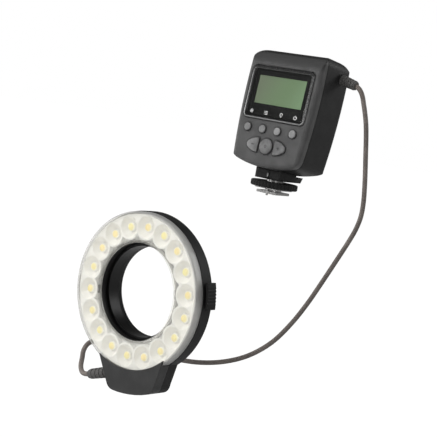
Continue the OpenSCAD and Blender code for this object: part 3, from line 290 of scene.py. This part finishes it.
def place_in(tree, matrix=None):
    """The surface's own position in millimetres, in the model's frame or in a head's."""
    sockets = {"Vector": Sock.node(tree, "TexCoord", out="Object"), "Scale": (MM, MM, MM)}
    if matrix is not None:
        sockets |= {"Location": matrix.to_translation(), "Rotation": matrix.to_euler()}
    return Sock.node(tree, "Mapping", {"vector_type": "TEXTURE"}, sockets)


def noise(spot, scale, detail=2.0):
    return Sock.node(spot.tree, "TexNoise", None, {"Vector": spot, "Scale": scale, "Detail": detail})


def edge_normal(tree, radius):
    """The normal as if corners were rounded by a radius in millimetres."""
    return Sock.node(tree, "Bevel", {"samples": 4}, {"Radius": radius * MM})


def edge_mask(rounded):
    """1 on corners and 0 on open faces, from how far a rounded normal leans from the plain one."""
    tree = rounded.tree
    plain = Sock.node(tree, "NewGeometry", out="Normal")
    same = Sock.node(tree, "VectorMath", {"operation": "DOT_PRODUCT"}, {0: rounded, 1: plain}, out="Value")
    return (1 - same).ramp(0.01, 0.25)


def bumped(height, depth, normal):
    """A normal with relief of a depth in millimetres."""
    return Sock.node(height.tree, "Bump", None,
                     {"Strength": 1.0, "Distance": depth * MM, "Height": height, "Normal": normal})


print("helpers for finishes: 6")

# %% [markdown]
# Two recipes make most finishes, and each finish sets its own amounts. Plastic and rubber drift between
# two close colours and pale a little on corners, partly from wear and partly as a painted highlight. Metal
# has fine turning or rolling lines and brighter corners.

# %% Recipes
DRIFT_SCALE, DRIFT_SHARE, GRAIN_SHARE = 0.09, 0.35, 0.3
GRAIN_ROUGH, LINES_ROUGH, CORNER_POLISH = 0.16, 0.2, 0.12
CORNER_SHARE, BRUSH_STRETCH = 0.6, 14


def scaled(tint, gain, lift=0.0):
    """A brighter or darker colour, held at white."""
    return (*(min(1, v * gain + lift) for v in tint[:3]), 1.0)


def moulded(name, dark, light, rough=0.5, gloss=0.3, grain=1.6, depth=0.02, edge=0.5, wear_and_sheen=0.5,
            shade=None, relief=None):
    """Plastic or rubber that drifts between two colours. shade() adds painted shade to the drift, relief()
    to grain.
    """
    made, tree, base = start_material(name)
    spot = place_in(tree)
    drift = noise(spot, DRIFT_SCALE, 3).ramp(0.3, 0.7)
    fine = noise(spot, grain, 2)
    rounded = edge_normal(tree, edge)
    # Corners pale partly from wear and partly as a painted highlight.
    corner = edge_mask(rounded) * wear_and_sheen
    tone = drift * DRIFT_SHARE + fine * GRAIN_SHARE
    if shade is not None:
        tone = tone + shade(tree)
    body = mix(tone.ramp(0, 1), dark, light)
    Sock.feed(base.inputs["Base Color"], mix(corner * CORNER_SHARE, body, scaled(light, 1.9, 0.01)))
    Sock.feed(base.inputs["Roughness"], rough + (fine - 0.5) * GRAIN_ROUGH - corner * CORNER_POLISH)
    base.inputs["Specular IOR Level"].default_value = gloss
    height = fine if relief is None else fine + relief(tree)
    Sock.feed(base.inputs["Normal"], bumped(height, depth, rounded))
    return made


def metal(name, tint, rough, edge=0.3, brush=0.0, relief=None):
    """Bare or blackened metal; brush stretches the lines, and relief() takes their place."""
    made, tree, base = start_material(name)
    spot = place_in(tree)
    lines = Sock.node(tree, "Mapping", None, {"Vector": spot, "Scale": (1, 1, 1 + brush * BRUSH_STRETCH)})
    fine = noise(lines, 1.4, 3)
    drift = noise(spot, 0.3, 2)
    rounded = edge_normal(tree, edge)
    body = mix(drift, scaled(tint, 0.78), tint)
    corner = edge_mask(rounded) * CORNER_SHARE
    Sock.feed(base.inputs["Base Color"], mix(corner, body, scaled(tint, 1.35, 0.02)))
    base.inputs["Metallic"].default_value = 1.0
    Sock.feed(base.inputs["Roughness"], rough + (fine - 0.5) * LINES_ROUGH)
    height, depth = (fine, 0.01) if relief is None else (fine * 0.1 + relief(tree), 0.16)
    Sock.feed(base.inputs["Normal"], bumped(height, depth, rounded))
    return made


print("recipes: moulded and metal")

# %% [markdown]
# The ring's front is the hard part. Its cover is clear with a faint milky haze, which is thicker in the
# outer wall, and greyed there as painted shade. A clear piece is a mix of a see-through and a mirror
# shader by Fresnel, so it darkens nothing behind it, and the haze is a little white plastic mixed in. Glass
# with refraction would be truer, but thin walls bend the view very little, and the picture would be
# noisier.

# %% Clear pieces
COVER_HAZE, WALL_HAZE, PLASTIC_IOR = 0.21, 0.35, 1.45


def outer_wall(tree):
    """1 in the cover's outer wall, falling off over its rim."""
    x, y, z = axes(place_in(tree, RING))
    return (x * x + y * y).root().ramp(54.2, 55.8)


def clear(name, haze, tint, shine=1.0, haze_and_shade=None):
    """A clear plastic with some haze; the last argument adds haze by place, and greys it as painted shade.
    """
    made, tree, base = start_material(name)
    ripple = noise(place_in(tree), 0.25, 2)
    normal = bumped(ripple, 0.004, edge_normal(tree, 0.5))
    outside = 1 - Sock.node(tree, "NewGeometry", out="Backfacing")
    fresnel = Sock.node(tree, "Fresnel", None, {"IOR": PLASTIC_IOR, "Normal": normal}) * outside * shine
    through = Sock.node(tree, "BsdfTransparent", None, {"Color": tint})
    mirror = Sock.node(tree, "BsdfGlossy", None, {"Color": WHITE, "Roughness": 0.05, "Normal": normal})
    glass = Sock.node(tree, "MixShader", None, {0: fresnel, 1: through, 2: mirror})
    milky = mix(ripple, colour(238, 236, 226), colour(247, 246, 240))
    amount = haze * (0.9 + ripple * 0.2)
    if haze_and_shade is not None:
        wall = haze_and_shade(tree)
        # The wall's haze is tinted grey: painted shade.
        milky = mix(wall * 0.8, milky, grey(168))
        amount = amount + wall * WALL_HAZE
    Sock.feed(base.inputs["Base Color"], milky)
    base.inputs["Roughness"].default_value = 0.4
    milk = Sock.node(tree, "MixShader", None, {0: amount, 1: glass, 2: Sock(base.outputs[0])})
    Sock.feed(tree.nodes["Material Output"].inputs["Surface"], milk)
    return made


finish = {
    "clear_plastic": clear("clear_plastic", COVER_HAZE, (0.99, 0.99, 0.98, 1), 0.8, outer_wall),
    "window": clear("window", 0.0, (0.97, 0.98, 0.97, 1), 0.6),
}
print("clear pieces:", sorted(finish))

# %% [markdown]
# A white lamp is a blue one under a yellow phosphor. The gel over it is thickest in the middle, so its
# dome pales towards the foot, and no two batches are quite the same yellow. A faint painted glow keeps
# it clear against the shade of its cup and behind the haze.

# %% Phosphor
LAMP_TOP = -0.85
PHOSPHOR_PAINTED_GLOW = 0.12


def phosphor_dot():
    """Yellow phosphor that pales towards the foot of its dome."""
    made, tree, base = start_material("phosphor")
    spot = place_in(tree)
    speck = noise(spot, 2.2, 3)
    batch = noise(spot, 0.05, 1).ramp(0.4, 0.6)
    x, y, z = axes(place_in(tree, RING))
    yolk = mix(batch, colour(253, 222, 104), colour(246, 232, 112))
    yolk = mix(speck.ramp(0.3, 0.7) * 0.5, yolk, colour(253, 238, 158))
    gel = mix(z.ramp(LAMP_TOP + 0.1, LAMP_TOP + 1.3), colour(252, 249, 222), yolk)
    Sock.feed(base.inputs["Base Color"], gel)
    # The phosphor glows a little: painted light against the shade in the cups.
    Sock.feed(base.inputs["Emission Color"], gel)
    base.inputs["Emission Strength"].default_value = PHOSPHOR_PAINTED_GLOW
    Sock.feed(base.inputs["Roughness"], 0.35 + speck * 0.2)
    base.inputs["Coat Weight"].default_value = 0.4
    Sock.feed(base.inputs["Normal"], bumped(speck, 0.03, edge_normal(tree, 0.4)))
    return made


finish["phosphor"] = phosphor_dot()
print("phosphor:", len(finish["phosphor"].node_tree.nodes), "nodes")

# %% [markdown]
# The bodies come next. The ring's back and the case are black with a matt spark-eroded grain, the case's
# face and the chin are a lighter grey, the latches are the deepest black, and the cups behind the cover
# are satin white. Some finishes need painted shade or a relief by place, so these are small functions.


# %% Shades and reliefs
def face_painted_shade(tree):
    """Painted shade: the face is a little darker over the rolled top than on its flat lower part."""
    x, y, z = axes(place_in(tree, CASE))
    return z.ramp(91, 99, 0.3, -0.6)


def key_painted_shade_and_tone(tree):
    """Keys are darker round the foot as painted shade in the gap, and the big ones are a darker grey."""
    x, y, z = axes(place_in(tree, CASE))
    return y.ramp(-1.3, -0.6, 0.2, -1.0) + z.ramp(36, 38, -0.22, 0)


THREAD_PITCH = 0.75


def adapter_thread(tree):
    """Turned threads on the front of the adapter: a fine ripple along the ring's axis."""
    x, y, z = axes(place_in(tree, RING))
    return (z * (2 * math.pi / THREAD_PITCH)).sine() * z.ramp(-15.6, -15.2, 1, 0)


def jacket_rings(tree):
    """Faint rings that the extruder leaves along a soft cable."""
    x, y, z = axes(place_in(tree))
    return (z * 5).sine() * 0.2


print("shades: 2, reliefs: 2")

# %% [markdown]
# Each row of the tables is one finish. A plastic has its dark and light colour, roughness, gloss, the
# grain's scale and depth in millimetres, the corners' radius and their wear with painted highlight, and
# then any painted shade and relief. A metal has its tint, roughness, the corners' radius, how brushed it
# is, and any relief.

# %% Plastics, rubber and metal
PLASTICS = {
    "white_plastic": (grey(243, 1), grey(249, 1), 0.5, 0.2, 0.9, 0.004, 0.4, 0.1),
    "board_white": (grey(236), grey(248), 0.45, 0.4, 2.2, 0.01),
    "lamp_body": (grey(246, 3), grey(253, 2), 0.4, 0.4, 1.5, 0.01, 0.2, 0.2),
    "black_plastic": (grey(24), grey(36), 0.55, 0.22),
    "case_black": (grey(33), grey(46), 0.5, 0.2, 1.6, 0.02, 3.0, 0.1),
    "latch_plastic": (grey(17), grey(28), 0.5, 0.2),
    "chin_plastic": (grey(49), grey(63), 0.45, 0.25, 2.0, 0.012, 0.8, 0.3),
    # The face takes painted shade over its rolled top.
    "face_grey": (grey(60), grey(82), 0.42, 0.35, 2.0, 0.014, 3.0, 0.1, face_painted_shade),
    "bezel": (grey(14), grey(20), 0.14, 1.0, 0.6, 0.004, 0.4, 0.1),
    "mask_black": (grey(12), grey(17), 0.4, 0.2),
    # The keys take painted shade round their foot.
    "button_grey": (grey(84), grey(162), 0.42, 0.35, 2.4, 0.01, 0.3, 0.2, key_painted_shade_and_tone),
    "holder_white": (grey(205), grey(222), 0.5, 0.3),
    "tray_plastic": (grey(30), grey(42), 0.55, 0.25),
    "carrier_black": (grey(18), grey(28), 0.5, 0.25),
    "chip_black": (grey(24), grey(34), 0.6, 0.2, 3.0, 0.01, 0.2),
    "switch_grey": (grey(150), grey(175), 0.4, 0.4, 2.0, 0.01, 0.2),
    "flex": (colour(170, 96, 30), colour(196, 120, 44), 0.3, 0.5, 1.0, 0.01, 0.1),
    "green_board": (colour(22, 74, 42), colour(36, 98, 58), 0.35, 0.5, 1.2, 0.015, 0.2),
    "boot_rubber": (grey(78, 1), grey(100, 1), 0.6, 0.2, 1.8, 0.02, 0.4),
    "cord_jacket": (colour(96, 90, 86), colour(128, 120, 115), 0.5, 0.25, 1.2, 0.03, 0.3, 0.2,
                    None, jacket_rings),
    "white_ink": (grey(226), grey(242), 0.5, 0.2, 2.5, 0.004, 0.05, 0.0),
    "grey_ink": (grey(52), grey(64), 0.5, 0.2, 2.5, 0.004, 0.05, 0.0),
}
METALS = {
    "black_metal": (grey(52), 0.42, 0.3, 0.4, adapter_thread),
    "dark_screw": (grey(72), 0.4),
    "spring_steel": (grey(190), 0.25, 0.1, 0.5),
    "plated": (grey(205, 2), 0.25, 0.1, 0.5),
    "foot_metal": (grey(186, 1), 0.32, 0.3, 1.0),
    "contact_gold": (colour(214, 172, 92), 0.25, 0.1),
    "satin_bevel": (grey(152), 0.26, 0.1),
}
finish |= {name: moulded(name, *row) for name, row in PLASTICS.items()}
finish |= {name: metal(name, *row) for name, row in METALS.items()}
print("finishes:", len(finish))

# %% [markdown]
# The display is a grey-green liquid crystal behind a glossy window. It is greyer towards its upper left
# and greener towards its lower right, as such a display is when seen at a slant, and it has a faint grid
# of dots. The cells in the back wear a sleeve of two colours, scuffed where they slide in.

# %% Display and cells
DISPLAY_MIDDLE, DOT_RATE = 72.8, 9
SLEEVE_BAND = 52.0


def crystal():
    """Liquid crystal whose tint drifts over its face, with a faint grid of dots."""
    made, tree, base = start_material("lcd")
    x, y, z = axes(place_in(tree, CASE))
    slope = (z - DISPLAY_MIDDLE) * 0.012 - x * 0.03
    dots = (x * DOT_RATE).sine().ramp(0.9, 1).most((z * DOT_RATE).sine().ramp(0.9, 1))
    body = mix(slope.ramp(-0.2, 0.8), colour(108, 128, 98), colour(107, 115, 97))
    body = mix((0 - slope).ramp(0.2, 0.9), body, colour(121, 145, 114))
    Sock.feed(base.inputs["Base Color"], mix(dots * 0.1, body, colour(80, 96, 78)))
    Sock.feed(base.inputs["Roughness"], 0.35 + dots * 0.1)
    base.inputs["Specular IOR Level"].default_value = 0.2
    return made


def cell_jacket():
    """A cell's printed sleeve: dark below, copper above, and scuffed all over."""
    made, tree, base = start_material("cell_jacket")
    x, y, z = axes(place_in(tree, CASE))
    scuff = noise(place_in(tree), 0.6, 3)
    sleeve = mix(z.ramp(SLEEVE_BAND, SLEEVE_BAND + 0.3), colour(44, 48, 54), colour(196, 128, 58))
    Sock.feed(base.inputs["Base Color"], mix(scuff.ramp(0.55, 0.8) * 0.3, sleeve, grey(120)))
    Sock.feed(base.inputs["Roughness"], 0.28 + scuff * 0.2)
    Sock.feed(base.inputs["Normal"], bumped(scuff, 0.02, edge_normal(tree, 0.4)))
    return made


finish |= {"lcd": crystal(), "cell_jacket": cell_jacket()}
print("display and cells:", len(finish), "finishes in all")

# %% [markdown]
# The record says which finish each solid takes. The solids stay as they are, and only their slots are
# filled.

# %% Finish the solids
for row in frame["record"]["subparts"]:
    solid = frame["nodes"][row["node"]]
    for slot in solid.material_slots:
        slot.material = finish[row["material_slot"]]

# %% [markdown]
# New pieces are skinned from loops of points, as a boat is from its frames. Edges sharper than an angle
# stay crisp, and the rest are shaded smooth. Each piece rides on a body, so that it moves with it.

# %% Helpers for pieces
SHARP_ANGLE = math.radians(40)


def new_piece(name, bm, body, material):
    """Closes a bmesh into a piece that rides on a body, and that may take a slot of the record."""
    bmesh.ops.recalc_face_normals(bm, faces=bm.faces)
    for edge in bm.edges:
        edge.smooth = edge.calc_face_angle(0) < SHARP_ANGLE
    mesh = bpy.data.meshes.new(name)
    bm.to_mesh(mesh)
    bm.free()
    mesh.shade_smooth()
    mesh.materials.append(finish[material])
    piece = bpy.data.objects.new(name, mesh)
    bpy.context.collection.objects.link(piece)
    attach(piece, body)
    return piece


def loft(bm, loops, close_start=True, close_end=True):
    """Skins closed loops of points, one after the other."""
    rings = [[bm.verts.new(p) for p in loop] for loop in loops]
    for low, high in zip(rings, rings[1:]):
        for i in range(len(low)):
            j = (i + 1) % len(low)
            bm.faces.new((low[i], low[j], high[j], high[i]))
    if close_start:
        bm.faces.new(rings[0])
    if close_end:
        bm.faces.new(rings[-1])
    return rings


print("helpers for pieces: 2")

# %% [markdown] The cord is a fixed length of thin cable. It leaves the case's strain relief, drops down
# the side, passes low behind the ring, and loops forward into the chin.

# %% Cord
CORD_D, CORD_STEPS, CORD_SIDES = 3.7, 5, 16
CORD_ROUTE = [
    (46.09, 14.19, 93.88), (49.70, 14.10, 93.05), (53, 13.9, 91.2), (55.7, 13.6, 88.5), (57.9, 13.1, 85.2),
    (59.9, 12.5, 81.2), (63.2, 11.8, 73.8), (66.2, 11.3, 65.4), (68.7, 11, 54.9), (70.8, 11, 43.5),
    (73, 11, 31.5), (75, 11, 19.5), (76.4, 11, 8.3), (76.5, 11, -2.5), (74.6, 10.4, -12.9),
    (71.4, 8.8, -23.1), (67.8, 6, -34.1), (64.4, 1.4, -46.5), (61, -4.4, -60.1), (57, -11, -75.1),
    (51.6, -19, -91.1), (44, -29, -107.1), (33, -40, -119.5), (20, -50.6, -127.1), (6, -61, -131.1),
    (-8, -70.6, -132.1), (-21, -79.4, -131.3), (-33, -87.4, -129.9), (-43.2, -95, -129.3),
    (-51, -102, -128.7), (-56.2, -108.6, -128.3), (-59.2, -113.8, -129.1), (-60.1, -118, -131.7),
    (-59, -121.7, -135.8), (-56.7, -124.2, -139.5), (-54.1, -127.1, -145.2), (-50.4, -129.2, -148.2),
    (-45.5, -131.2, -148.7), (-38.39, -132.58, -147.00), (-34.92, -132.58, -145.73)]


def smooth_route(points, steps):
    """A path through the points: straight at both ends, and a smooth curve between."""
    p = [Vector(q) for q in points]
    path = [p[0]]
    for a, b, c, d in zip(p, p[1:], p[2:], p[3:]):
        bend = 2 * a - 5 * b + 4 * c - d
        turn = 3 * b - a - 3 * c + d
        for k in range(steps):
            t = k / steps
            path.append(0.5 * (2 * b + (c - a) * t + bend * t ** 2 + turn * t ** 3))
    return path + p[-2:]


def tube_loops(path, radius, sides):
    """Rings of points round a path, carried along without twist."""
    side, loops = None, []
    for i, p in enumerate(path):
        ahead = (path[min(i + 1, len(path) - 1)] - path[max(i - 1, 0)]).normalized()
        side = ahead.cross((0, 0, 1)) if side is None else side - side.dot(ahead) * ahead
        side.normalize()
        other = ahead.cross(side)
        loops.append([p + radius * (math.cos(a) * side + math.sin(a) * other)
                      for a in (2 * math.pi * k / sides for k in range(sides))])
    return loops


cord_path = [p * MM for p in smooth_route(CORD_ROUTE, CORD_STEPS)]
cord_length = sum((b - a).length for a, b in zip(cord_path, cord_path[1:]))
bm = bmesh.new()
loft(bm, tube_loops(cord_path, CORD_D / 2 * MM, CORD_SIDES))
cord = new_piece("cord_tube", bm, "flash", "cord_jacket")
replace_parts(cord, "cord")
print("cord:", round(cord_length, 4), "m through", len(CORD_ROUTE), "points")

# %% [markdown]
# The display's rim is a thin moulding, glossy black inside, with a bright satin bevel along its outer
# edge. A solid with square edges reflects in flat patches, and a real rim catches one long line of light.
# So the rim is rebuilt: each loop is its outline drawn a little further in, and the loops climb the bevel
# and go down to the window. A step of a section gives how far in it lies and its depth, which is below
# zero in front of the face.

# %% Display rim
RIM_W, RIM_H, RIM_MID, RIM_ROUND = 29.3, 20.7, 70.3, 4.0
BEVEL = [(0, 0.2), (0, -0.28), (0.05, -0.42), (0.25, -0.59), (0.6, -0.75), (1.0, -0.86), (1.15, -0.88)]
INSIDE = [(1.15, -0.88), (1.5, -0.9), (1.9, -0.82), (2.2, -0.6), (2.4, -0.28)]


def rounded_box(half_w, half_h, radius, steps=8):
    """Outline of a rectangle with round corners, going round once."""
    loop = []
    for k, (side_x, side_y) in enumerate(((1, 1), (-1, 1), (-1, -1), (1, -1))):
        for i in range(steps + 1):
            a = math.pi / 2 * (k + i / steps)
            loop.append((side_x * (half_w - radius) + radius * math.cos(a),
                         side_y * (half_h - radius) + radius * math.sin(a)))
    return loop


def rim_band(section):
    bm = bmesh.new()
    loops = []
    for inset, y in section:
        outline = rounded_box(RIM_W - inset, RIM_H - inset, RIM_ROUND - inset)
        loops.append(carried(CASE, [(x, y, RIM_MID + z) for x, z in outline]))
    loft(bm, loops, False, False)
    return bm


rim = new_piece("display_rim", rim_band(INSIDE), "flash", "bezel")
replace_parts(rim, "display_frame")
new_piece("display_bevel", rim_band(BEVEL), "flash", "satin_bevel")
print("rim:", len(rim.data.polygons), "faces")

# %% [markdown]
# The keys are slightly domed, so that a finger finds them and each catches its own soft light. A dome is
# the key's outline drawn smaller and smaller while it climbs: a step of the section gives its share of
# the outline and its depth. The two side keys are like a leaf, cut square at its root and blunt at its
# tip: three arcs that run into each other.

# %% Keys
KEY_TOP = 1.75
KEY_SECTION = [(1, 0.5), (1, -0.9), (0.99, -1.1), (0.965, -1.26), (0.92, -1.38), (0.82, -1.52),
               (0.65, -1.64), (0.4, -1.72), (0.15, -1.745)]
SMALL_R, SMALL_Z = 3.1, 42.2
SMALL_KEYS = {"pilot_button": -21.6, "mode_button": -7.2, "light_button": 7.2, "power_button": 21.6}
SET_R, BIG_Z = 6, 29.4
LEAF_ROOT, LEAF_DROP, LEAF_R = 7.6, 10.3, 16
TIP_X, TIP_R, TIP_ANGLE = 15.2, 3.2, 53.6


def arc(x, y, radius, start, end, count=16):
    """Points along an arc, from one angle in degrees to another."""
    angles = [math.radians(start + (end - start) * k / count) for k in range(count + 1)]
    return [(x + radius * math.cos(a), y + radius * math.sin(a)) for a in angles]


def ring_outline(radius, count=40):
    """A circle that doesn't repeat its first point."""
    angles = [2 * math.pi * k / count for k in range(count)]
    return [(radius * math.cos(a), radius * math.sin(a)) for a in angles]


def leaf_outline(sign):
    """A side key: a straight root, two long arcs, and a small one round the tip."""
    upper = arc(LEAF_ROOT, -LEAF_DROP, LEAF_R, 90, TIP_ANGLE, 10)
    tip = arc(TIP_X, 0, TIP_R, TIP_ANGLE, -TIP_ANGLE, 8)[1:-1]
    lower = [(x, -z) for x, z in reversed(upper)]
    return [(sign * x, z) for x, z in upper + tip + lower]


def key(body, outline, mid_x, mid_z):
    """A domed key over the body's own solid, shrinking towards the middle of its outline."""
    cx = sum(x for x, z in outline) / len(outline)
    bm = bmesh.new()
    loft(bm, [carried(CASE, [(mid_x + cx + (x - cx) * share, y, mid_z + z * share) for x, z in outline])
              for share, y in KEY_SECTION])
    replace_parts(new_piece(body + "_dome", bm, body, "button_grey"), body)


for body, x in SMALL_KEYS.items():
    key(body, ring_outline(SMALL_R), x, SMALL_Z)
key("set_button", ring_outline(SET_R, 56), 0, BIG_Z)
key("left_button", leaf_outline(-1), 0, BIG_Z)
key("right_button", leaf_outline(1), 0, BIG_Z)
print("keys:", len(SMALL_KEYS) + 3)

# %% [markdown]
# Small signs are printed in white under the window, one over each small key: a pilot lamp, a list of
# modes, a bulb, and the usual power sign. The big keys carry a minus, a ring and a plus in dark grey.
# Each sign is drawn as strokes with some width, and laid a hair in front of what it is printed on.

# %% Printed signs
SIGN_Y, SIGN_Z, SIGN_WIDTH = -0.33, 54.9, 0.42
KEY_SIGN_Y, KEY_SIGN_WIDTH = -KEY_TOP - 0.02, 0.5
RAYS = [math.pi / 4 * k for k in range(8)]
LIST_ROWS = (-1.1, 0, 1.1)
SIGNS = {
    "pilot": (-21.6, [arc(0, 0, 0.6, 0, 360)]
              + [[(r * math.cos(a), r * math.sin(a)) for r in (1.05, 1.65)] for a in RAYS]),
    "mode": (-7.9, [[(-1.6, z), (-1.1, z)] for z in LIST_ROWS]
             + [[(-0.6, z), (1.7, z)] for z in LIST_ROWS]),
    "light": (6.9, [arc(0, 0.45, 1.1, -60, 240), [(-0.5, -0.85), (0.5, -0.85)],
                    [(-0.4, -1.4), (0.4, -1.4)]]),
    "power": (20.3, [arc(0, -0.1, 1.35, 125, 415), [(0, 0.3), (0, 1.65)]]),
}
BAR, POST = [(-1.3, 0), (1.3, 0)], [(0, -1.3), (0, 1.3)]
KEY_SIGNS = {
    "left_button": (-12.2, [BAR]),
    "set_button": (0, [arc(0, 0, 0.9, 0, 360)]),
    "right_button": (12.2, [BAR, POST]),
}


def stroke(bm, points, width, middle):
    """A flat line of some width, on a plane along the case's face through a middle point."""
    p = [Vector(q) for q in points]
    rows = []
    for i, q in enumerate(p):
        ahead = (p[min(i + 1, len(p) - 1)] - p[max(i - 1, 0)]).normalized()
        out = Vector((-ahead.y, ahead.x)) * width / 2
        sides = [(middle[0] + e.x, middle[1], middle[2] + e.y) for e in (q + out, q - out)]
        rows.append([bm.verts.new(e) for e in carried(CASE, sides)])
    for (a, b), (c, d) in zip(rows, rows[1:]):
        bm.faces.new((a, b, d, c))


def print_sign(name, body, strokes, width, middle, material):
    bm = bmesh.new()
    for points in strokes:
        stroke(bm, points, width, middle)
    new_piece("sign_" + name, bm, body, material)


for name, (x, strokes) in SIGNS.items():
    print_sign(name, "flash", strokes, SIGN_WIDTH, (x, SIGN_Y, SIGN_Z), "white_ink")
for body, (x, strokes) in KEY_SIGNS.items():
    print_sign(body, body, strokes, KEY_SIGN_WIDTH, (x, KEY_SIGN_Y, BIG_Z), "grey_ink")
print("signs:", len(SIGNS) + len(KEY_SIGNS))

# %% [markdown]
# Each lamp's phosphor is a low dome of gel. All eighteen are one piece, and each is a lathe of one short
# section, given as radius and height.

# %% Lamp domes
LAMP_COUNT, LAMP_CIRCLE, DOME_SIDES = 18, 46, 24
DOME_SECTION = [(2.95, -0.3), (2.9, 0.15), (2.75, 0.5), (2.45, 0.82), (2.0, 1.1), (1.45, 1.3), (0.8, 1.42),
                (0.15, 1.45)]
bm = bmesh.new()
for x, y in ring_outline(LAMP_CIRCLE, LAMP_COUNT):
    loft(bm, [carried(RING, [(x + dx, y + dy, LAMP_TOP + h) for dx, dy in ring_outline(r, DOME_SIDES)])
              for r, h in DOME_SECTION])
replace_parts(new_piece("lamp_domes", bm, "flash", "phosphor"), "led_phosphors")
print("lamp domes:", LAMP_COUNT)

# %% [markdown]
# A short pale bar is painted on the front of the neck, over the wheel, where the foot's middle is. It is
# a thin plate with a rounded outline, whose front is drawn in a little.

# %% Index mark
MARK_W, MARK_H, MARK_ROUND, MARK_Z = 0.6, 1.5, 0.4, 14.6
MARK_SECTION = ((0, -10.9), (0, -11.03), (0.1, -11.08))
bm = bmesh.new()
loft(bm, [[Vector((x, y, MARK_Z + z)) * MM for x, z in rounded_box(MARK_W - d, MARK_H - d, MARK_ROUND)]
          for d, y in MARK_SECTION])
new_piece("index_mark", bm, "flash", "switch_grey")
print("index mark: 1")

# %% [markdown]
# The cover is held by four thin dark catches that rise from the housing between the clear walls and the
# white cups, two on each side. They show as dark tabs through the clear walls, and edge on as thin lines.
# Each is a bent plate, given as its two radii, its two heights and half its angle.

# %% Cover catches
CATCHES = ((36.15, 36.35, -0.4, 1.9, 4.8), (54.65, 54.85, -3.3, 1.8, 4))
CATCH_SIDES = (0, 180)


def curved_plate(bm, low_r, high_r, low_z, high_z, half, middle, count=10):
    corners = ((low_r, low_z), (high_r, low_z), (high_r, high_z), (low_r, high_z))
    loops = []
    for k in range(count + 1):
        a = math.radians(middle - half + 2 * half * k / count)
        loops.append(carried(RING, [(r * math.cos(a), r * math.sin(a), z) for r, z in corners]))
    loft(bm, loops)


bm = bmesh.new()
for middle in CATCH_SIDES:
    for plate in CATCHES:
        curved_plate(bm, *plate, middle)
new_piece("cover_catches", bm, "flash", "black_plastic")
print("catches:", len(CATCHES) * len(CATCH_SIDES))

# %% [markdown] Each latch is pushed out by a small coil spring between the housing and its slider.

# %% Latch springs
COIL_R, COIL_WIRE, COIL_TURNS, COIL_STEPS = 1.55, 0.45, 4, 16
LUG_X, SEAT_X, COIL_Y = 46.55, 51.47, 16
COIL_SIDES = {"right": (-1, -7.55), "left": (1, -9.35)}
COIL_COUNT = COIL_TURNS * COIL_STEPS


def coil(sign, middle_z):
    """A helix from the slider's lug out to its seat in the housing."""
    points = []
    for k in range(COIL_COUNT + 1):
        a = 2 * math.pi * k / COIL_STEPS
        x = LUG_X + COIL_WIRE / 2 + (SEAT_X - LUG_X - COIL_WIRE) * (k / COIL_COUNT)
        points.append((sign * x, COIL_Y + COIL_R * math.cos(a), middle_z + COIL_R * math.sin(a)))
    return carried(RING, points)


for side, (sign_x, middle_z) in COIL_SIDES.items():
    bm = bmesh.new()
    loft(bm, tube_loops(coil(sign_x, middle_z), COIL_WIRE / 2 * MM, 8))
    spring = new_piece("latch_coil_" + side, bm, "flash", "spring_steel")
    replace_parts(spring, "latch_spring_" + side)
    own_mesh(spring)
print("springs: 2 of", COIL_TURNS, "turns")

# %% [markdown]
# Six screws close the ring's back, and their heads show. Each head has a small bevel and a cross cut into
# it, so its face is filled between two outlines: the bevel's circle and the cross.

# %% Screws in the ring's back
HEAD_R, HEAD_H, HEAD_BEVEL, HEAD_FACE = 1.8, 1.2, 0.15, -12.95
SHANK_R, SCREW_SIDES = 0.9, 24
CROSS_REACH, CROSS_HALF, CROSS_DEPTH = 1.1, 0.3, 0.8
SCREWS = {
    "back_screws": (((-10, -42), (-10, 42), (10, -42), (10, 42)), -7.75),
    "chin_screws": (((-19.8, -64), (19.8, -64)), -0.3),
}


def cross_outline():
    """A plus sign with square ends: three corners for each of its four arms."""
    corners = ((CROSS_REACH, -CROSS_HALF), (CROSS_REACH, CROSS_HALF), (CROSS_HALF, CROSS_HALF))
    return [Matrix.Rotation(math.pi / 2 * k, 2) @ Vector(corner) for k in range(4) for corner in corners]


def cross_screw(bm, mid_x, mid_y, tip):
    def level(outline, h):
        return carried(RING, [(mid_x + x, mid_y + y, HEAD_FACE + h) for x, y in outline])

    section = [(HEAD_R - HEAD_BEVEL, 0), (HEAD_R, HEAD_BEVEL), (HEAD_R, HEAD_H), (SHANK_R, HEAD_H),
               (SHANK_R, tip - HEAD_FACE)]
    body = loft(bm, [level(ring_outline(r, SCREW_SIDES), h) for r, h in section], close_start=False)
    cut = loft(bm, [level(cross_outline(), h) for h in (0, CROSS_DEPTH)], close_start=False)
    border = [bm.edges.get((loop[i - 1], loop[i])) for loop in (body[0], cut[0]) for i in range(len(loop))]
    bmesh.ops.triangle_fill(bm, use_beauty=True, edges=border)


for node, (places, tip) in SCREWS.items():
    bm = bmesh.new()
    for x, y in places:
        cross_screw(bm, x, y, tip)
    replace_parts(new_piece(node + "_cross", bm, "flash", "dark_screw"), node)
print("screws:", sum(len(places) for places, tip in SCREWS.values()))
